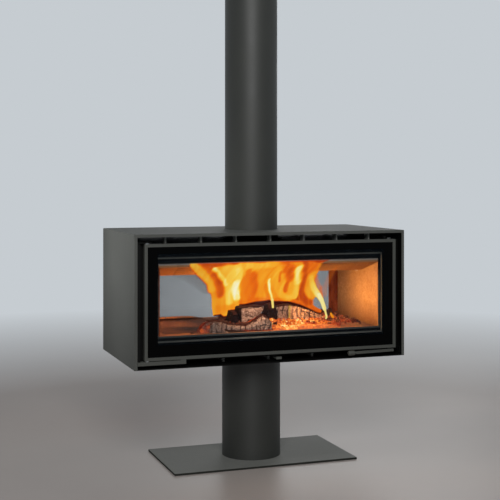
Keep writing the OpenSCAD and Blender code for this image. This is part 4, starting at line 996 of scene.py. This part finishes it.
def lay_fire():
    """The logs, the ember bed, the coals and a sheet of flame towards each door."""
    wood = charred_wood()
    log_in_place("front_log", -10, 15 * MM, 7 * MM, seed=3, finish=wood, section=HALF_ROUND, tops=FRONT_TOPS)
    log_in_place("upper_log", 90, 0, seed=11, finish=wood, section=QUARTER, tops=[(0, 1), (1, 0.97)],
                 glow_reach=6 * MM, black_flank=1)
    log_in_place("rear_log", -4, 8 * MM, seed=29, finish=wood, section=SPLIT_FACE, tops=REAR_TOPS,
                 glow_reach=26 * MM)
    for index, (spot, size, turn, tops, char, heat) in enumerate(BRANDS):
        split_log(f"brand_{index + 1}", np.array(spot) * MM, np.array(size) * MM, turn, seed=50 + 7 * index,
                  finish=wood, section=HALF_ROUND, tops=tops, char=char, heat=heat)
    glowing = embers()
    ember_bed(glowing)
    coals(glowing)
    gas = burning_gas()
    flame_sheet("front_flames", FLAME_STROKES, FLAME_X, FLAME_Z, FLAME_DEPTH, gas, 4)
    flame_sheet("front_licks", LICK_STROKES, (20, 310), (470, 625), 118, gas, 21)
    flame_sheet("rear_flames", FLAME_STROKES, FLAME_X, FLAME_Z, FLAME_DEPTH, gas, 9, side=1, shift=30,
                narrow=0.8)


# Sizes of the turned pieces, which the frame's boxes don't give
PIPE_WALL = 2 * MM
PIPE_PLAY = 0.5 * MM  # between a pipe's end and the socket that takes it
SOCKET_LEN = 50 * MM
SWAGE_LEN = 6 * MM
SWAGE_BEND = 3 * MM  # the straight side of each bend of the swage
SWAGE_EASE = (0.8 * MM, 2 * MM)  # the bend's other end, across and along the pipe
COLUMN_WALL = 3 * MM

# The rope seals: half the rope's width, the radius of their corners, the knit's pitch and the ribs' height
ROPE_HALF = 6 * MM
ROPE_CORNER = 14 * MM
KNIT_PITCH = 14 * MM
RIB = 0.07

# Outlines across the logs, walked with the log's first end towards the eye, and what the fire has left on top
HALF_ROUND = [(-0.47, 0), (0.4, 0), (0.5, 0.45), (0.32, 0.95), (-0.30, 1.0), (-0.44, 0.85), (-0.5, 0.4)]
QUARTER = [(0.0, 0.28), (0.25, 0.05), (0.42, 0.0), (0.5, 0.04), (0.5, 0.95), (0.44, 1.0), (-0.3, 1.0),
           (-0.38, 0.88), (-0.24, 0.56)]
SPLIT_FACE = [(-0.5, 0.0), (0.1, 0.0), (0.4, 0.15), (0.5, 0.55), (0.25, 0.93), (-0.42, 1.0), (-0.5, 0.95)]
FRONT_TOPS = [(0, 0.56), (0.1, 0.62), (0.3, 0.43), (0.45, 0.30), (0.62, 0.30), (0.75, 0.55), (0.87, 0.86),
              (0.94, 0.72), (1, 0.42)]
REAR_TOPS = [(0, 0.93), (0.2, 0.95), (0.35, 0.91), (0.5, 0.82), (0.65, 0.68), (0.83, 0.46), (1, 0.24)]

# Broken brands beside the logs, in millimetres: the middle of the foot, the size, the turn about Z, the top's
# outline, how black it is and how much it glows
WHOLE = [(0, 0.8), (0.2, 1), (0.8, 1), (1, 0.7)]
BRANDS = [
    ((-188, -199, 484), (62, 20, 42), -8, [(0, 0.75), (0.14, 1), (0.55, 0.55), (1, 0.12)], 0.0, 0.0),
    ((-234, -180, 484), (44, 34, 40), 15, [(0, 0.4), (0.3, 0.9), (0.7, 1), (1, 0.6)], 0.55, 0.42),
    ((-281, -190, 486), (16, 13, 8), 30, WHOLE, 0.0, 0.05),
    ((-95, -62, 488), (74, 30, 60), 90, WHOLE, 1.0, 0.0),
    ((50, -58, 490), (74, 46, 80), 84, WHOLE, 1.0, 0.0),
    ((40, -150, 486), (40, 26, 22), 75, WHOLE, 0.9, 0.0),
    ((268, -120, 487), (40, 30, 22), 25, WHOLE, 0.8, 0.1),
    ((352, -150, 487), (34, 22, 18), -20, WHOLE, 0.8, 0.05),
]

# The sheets of flame, in millimetres: the steps of their grid, their edges, how far they stand before the
# middle, where they leave the upright, and where they reach the mouth and how far out
FLAME_GRID = (1.5, 1.3)
FLAME_X = (-345, 330)
FLAME_Z = (462, 732)
FLAME_DEPTH = 40
FLAME_BEND_Z = 600
FLAME_ROLL_Z = 716
FLAME_OUT = 218.5
# Their foot over the logs, as (x, z)
FLAME_FOOT = [(-345, 500), (-170, 512), (-152, 528), (-130, 530), (-119, 520), (-108, 520), (-103, 541),
              (-66, 542), (-60, 560), (-18, 565), (40, 572), (56, 575), (75, 571), (130, 565), (150, 559),
              (178, 555), (210, 541), (245, 524), (266, 518), (330, 500)]

# Strokes of flame: a line of (x, z) in millimetres, its half width, its heat and how strongly it covers
FLAME_STROKES = [
    # glowing body
    ([(-133, 545), (-133, 610), (-150, 660), (-185, 700)], 24, 0.62, 0.5),
    ([(-80, 545), (-60, 610), (-90, 700)], 48, 0.66, 0.5),
    ([(0, 560), (30, 620), (0, 715)], 54, 0.58, 0.5),
    ([(90, 565), (115, 640), (85, 720)], 52, 0.57, 0.5),
    ([(205, 550), (205, 610), (180, 670), (160, 715)], 30, 0.50, 0.5),
    # left tongue with its dark hollow
    ([(-283, 725), (-250, 700), (-212, 672), (-183, 649), (-164, 620)], 11, 0.75, 2.6),
    ([(-258, 714), (-215, 688), (-182, 662), (-159, 632), (-149, 600)], 11, 0.58, 1.8),
    ([(-160, 612), (-157, 583), (-155, 554), (-153, 532)], 7, 0.62, 0.6),
    ([(-248, 722), (-221, 704), (-192, 683)], 8, 0.34, 4.0),
    ([(-192, 683), (-164, 657), (-142, 627), (-134, 603)], 11, 0.27, 4.0),
    ([(-208, 708), (-184, 693), (-162, 675), (-141, 656), (-126, 638)], 6.5, 0.90, 3.0),
    # white core and the gold about it
    ([(-158, 711), (-126, 668), (-112, 634)], 16, 0.76, 1.6),
    ([(-128, 710), (-109, 671)], 10, 0.80, 1.4),
    ([(-112, 701), (-84, 654)], 10, 0.86, 2.8),
    ([(-87, 644), (-81, 617), (-72, 588)], 11, 1.0, 6.0),
    ([(-107, 628), (-101, 598), (-98, 572)], 9, 0.84, 2.2),
    ([(-70, 590), (-70, 556)], 7, 0.70, 1.6),
    ([(-141, 549), (-72, 550)], 12, 0.54, 1.2),
    # orange hollow, gold beside it and a thin bright thread
    ([(-71, 695), (-52, 665)], 8, 0.44, 2.4),
    ([(-50, 658), (-34, 615), (-31, 575)], 21, 0.44, 2.6),
    ([(-45, 678), (-15, 639), (-10, 607), (-15, 581)], 12, 0.36, 2.4),
    ([(-107, 718), (-74, 717), (-36, 715), (8, 718)], 12, 0.74, 1.6),
    ([(-26, 698), (18, 633), (28, 587)], 11, 0.62, 1.2),
    ([(16, 697), (62, 632), (71, 589)], 9, 0.60, 1.0),
    ([(34, 637), (46, 590)], 6, 0.46, 1.4),
    ([(36, 658), (51, 624), (60, 597), (65, 567)], 4.5, 0.98, 5.0),
    # loop over the rear log
    ([(44, 709), (51, 678), (71, 640), (93, 611), (111, 587), (134, 575)], 11, 0.70, 2.2),
    ([(134, 575), (154, 586), (163, 608), (155, 641)], 10, 0.74, 2.4),
    ([(155, 641), (142, 671), (117, 702)], 11, 0.95, 3.2),
    ([(78, 673), (101, 639), (102, 618)], 8, 0.68, 1.8),
    ([(140, 633), (146, 597)], 9, 0.68, 1.4),
    ([(49, 720), (87, 694), (116, 655)], 14, 0.35, 2.6),
    ([(85, 700), (112, 660)], 6, 0.27, 2.0),
    ([(117, 634), (122, 606)], 7, 0.32, 2.4),
    ([(58, 687), (81, 648)], 4.5, 0.33, 2.4),
    ([(129, 725), (146, 692), (170, 649), (184, 611), (194, 581), (214, 561)], 11, 0.28, 2.8),
    # right tongue
    ([(210, 610), (206, 643), (193, 674)], 12, 0.64, 2.0),
    ([(213, 606), (226, 587)], 11, 0.66, 1.8),
    ([(152, 725), (180, 687)], 13, 0.42, 2.0),
    ([(200, 660), (228, 622), (245, 594)], 8, 0.84, 3.0),
    ([(245, 594), (261, 571)], 7, 0.90, 3.2),
    ([(220, 664), (256, 613), (263, 582)], 8, 0.42, 0.22),
    ([(262, 690), (275, 640), (280, 590)], 20, 0.46, 0.20),
    # under the sloping board, and over the logs
    ([(-262, 731), (-184, 729), (-125, 731)], 8, 0.30, 2.4),
    ([(-125, 734), (49, 735), (210, 734)], 7, 0.22, 3.0),
    ([(-57, 568), (28, 576), (119, 569), (198, 551), (251, 526)], 10, 0.40, 1.2),
    # brown smoke beside the left tongue
    ([(-345, 705), (-290, 690), (-230, 655), (-186, 625)], 34, 0.05, 0.21),
]

# Flames before the logs
LICK_STROKES = [
    ([(218, 600), (231, 565), (239, 543)], 5.5, 0.92, 2.4),
    ([(239, 543), (249, 517), (247, 498)], 4.5, 0.90, 1.2),
    ([(247, 498), (241, 480)], 3.5, 0.76, 0.4),
    ([(108, 556), (108, 530), (106, 512)], 6.5, 0.72, 0.24),
    ([(31, 588), (36, 558)], 3.5, 0.86, 0.8),
    ([(271, 522), (281, 510)], 5, 0.62, 0.6),
    ([(281, 510), (289, 497)], 5, 0.46, 0.5),
]


# Floor, background and light

BACKDROP = "#c6ccd1"
FLOOR_HALF = 30.0
FLOOR_FADE = (1.6, 4.6)  # where the floor starts to fade and where it is all backdrop, from the column


def stage_floor():
    """A wide grey-brown floor that keeps the object's shadow and fades into the backdrop far away."""
    corners = [(x * FLOOR_HALF, y * FLOOR_HALF, 0) for x, y in ((-1, -1), (1, -1), (1, 1), (-1, 1))]
    mesh = bpy.data.meshes.new("floor")
    mesh.from_pydata(corners, [], [(0, 1, 2, 3)])
    floor = bpy.data.objects.new("floor", mesh)
    bpy.context.scene.collection.objects.link(floor)
    material, tree, shader, place = new_finish("screed_floor")
    cloud = add(tree, "TexNoise", {"Vector": place, "Scale": blobs(0.5), "Detail": 3.0})[0]
    tone = add(tree, "ValToRGB", [cloud], [(0.3, "#9d948f"), (0.7, "#a69d97")])[0]
    feed(shader, {"Base Color": tone, "Roughness": 0.45, "Specular IOR Level": 0.25})
    distance = add(tree, "VectorMath", [place], operation="LENGTH")["Value"]
    far = add(tree, "MapRange", [distance, *FLOOR_FADE])[0]
    glow = add(tree, "Emission", {"Color": BACKDROP, "Strength": 1.0})[0]
    faded = add(tree, "MixShader", [far, shader.outputs[0], glow])[0]
    feed(tree.nodes["Material Output"], {"Surface": faded})
    material.cycles.emission_sampling = "NONE"
    mesh.materials.append(material)


def background():
    """A soft grey room light, and a pale backdrop for what the camera sees directly or by gloss or glass."""
    world = bpy.data.worlds.new("studio")
    world.use_nodes = True
    bpy.context.scene.world = world
    tree = world.node_tree
    tree.nodes.clear()
    path = add(tree, "LightPath")
    seen = add(tree, "Math", [path["Is Camera Ray"], path["Is Glossy Ray"]], operation="MAXIMUM")[0]
    seen = add(tree, "Math", [seen, path["Is Transmission Ray"]], operation="MAXIMUM")[0]
    light = add(tree, "Background", {"Color": "#dfe3e8", "Strength": 0.13})[0]
    backdrop = add(tree, "Background", {"Color": BACKDROP, "Strength": 1.0})[0]
    add(tree, "OutputWorld", {"Surface": add(tree, "MixShader", [seen, light, backdrop])[0]})


def soft_lamp(name, place, target, size, power, colour="#ffffff", spread=180, glossy=True):
    """A square soft box at place, turned to face target, that shines into a cone of spread degrees."""
    lamp = bpy.data.lights.new(name, "AREA")
    lamp.size = size
    lamp.energy = power
    lamp.color = linear(colour)[:3]
    lamp.spread = math.radians(spread)
    holder = bpy.data.objects.new(name, lamp)
    holder.location = place
    holder.rotation_euler = (Vector(target) - Vector(place)).to_track_quat("-Z", "Y").to_euler()
    holder.visible_glossy = glossy
    bpy.context.scene.collection.objects.link(holder)
    return holder


def fire_lamp(name, place, target, size, power, colour="#ffa858", spread=180):
    """The light of the flames or the embers, as a small warm soft box that shows nowhere itself."""
    holder = soft_lamp(name, place, target, size, power, colour, spread, glossy=False)
    holder.visible_camera = False
    holder.visible_transmission = False


def light_scene():
    """Three soft boxes in the room, and the fire's own light on each wall, the roof and the logs."""
    middle = (0, 0, 0.7)
    soft_lamp("key_box", (-1.4, -4.4, 3.0), middle, 2.2, 185)
    soft_lamp("side_box", (-2.6, 0.1, 1.2), (-0.5, 0, 0.80), 0.5, 1.6, spread=27, glossy=False)
    soft_lamp("rear_box", (2.4, 4.4, 2.6), middle, 2.6, 50)
    fire_lamp("fire_to_right", (0.12, -0.12, 0.58), (0.41, -0.15, 0.555), 0.14, 1.25, "#ffb868", spread=110)
    fire_lamp("fire_to_left", (-0.17, 0.05, 0.60), (-0.41, 0.05, 0.56), 0.10, 1.3, spread=120)
    fire_lamp("fire_to_roof", (-0.18, -0.14, 0.58), (-0.30, -0.17, 0.70), 0.12, 1.3, "#ffb060")
    fire_lamp("fire_to_rear", (0.03, 0.14, 0.60), (0.03, 0.22, 0.58), 0.16, 0.8)
    fire_lamp("fire_to_logs", (-0.06, -0.216, 0.62), (0.0, -0.12, 0.51), 0.10, 0.42, "#ffd9b8")
    fire_lamp("fire_to_rear_logs", (0.05, 0.216, 0.60), (0.05, 0.08, 0.51), 0.10, 0.6, "#ffd9b8")


set_camera()
paint_nodes()
soften_sheet_metal()
flue_pipe()
column()
rope_seals()
lay_fire()
stage_floor()
background()
light_scene()
bpy.context.scene.view_settings.view_transform = "Standard"
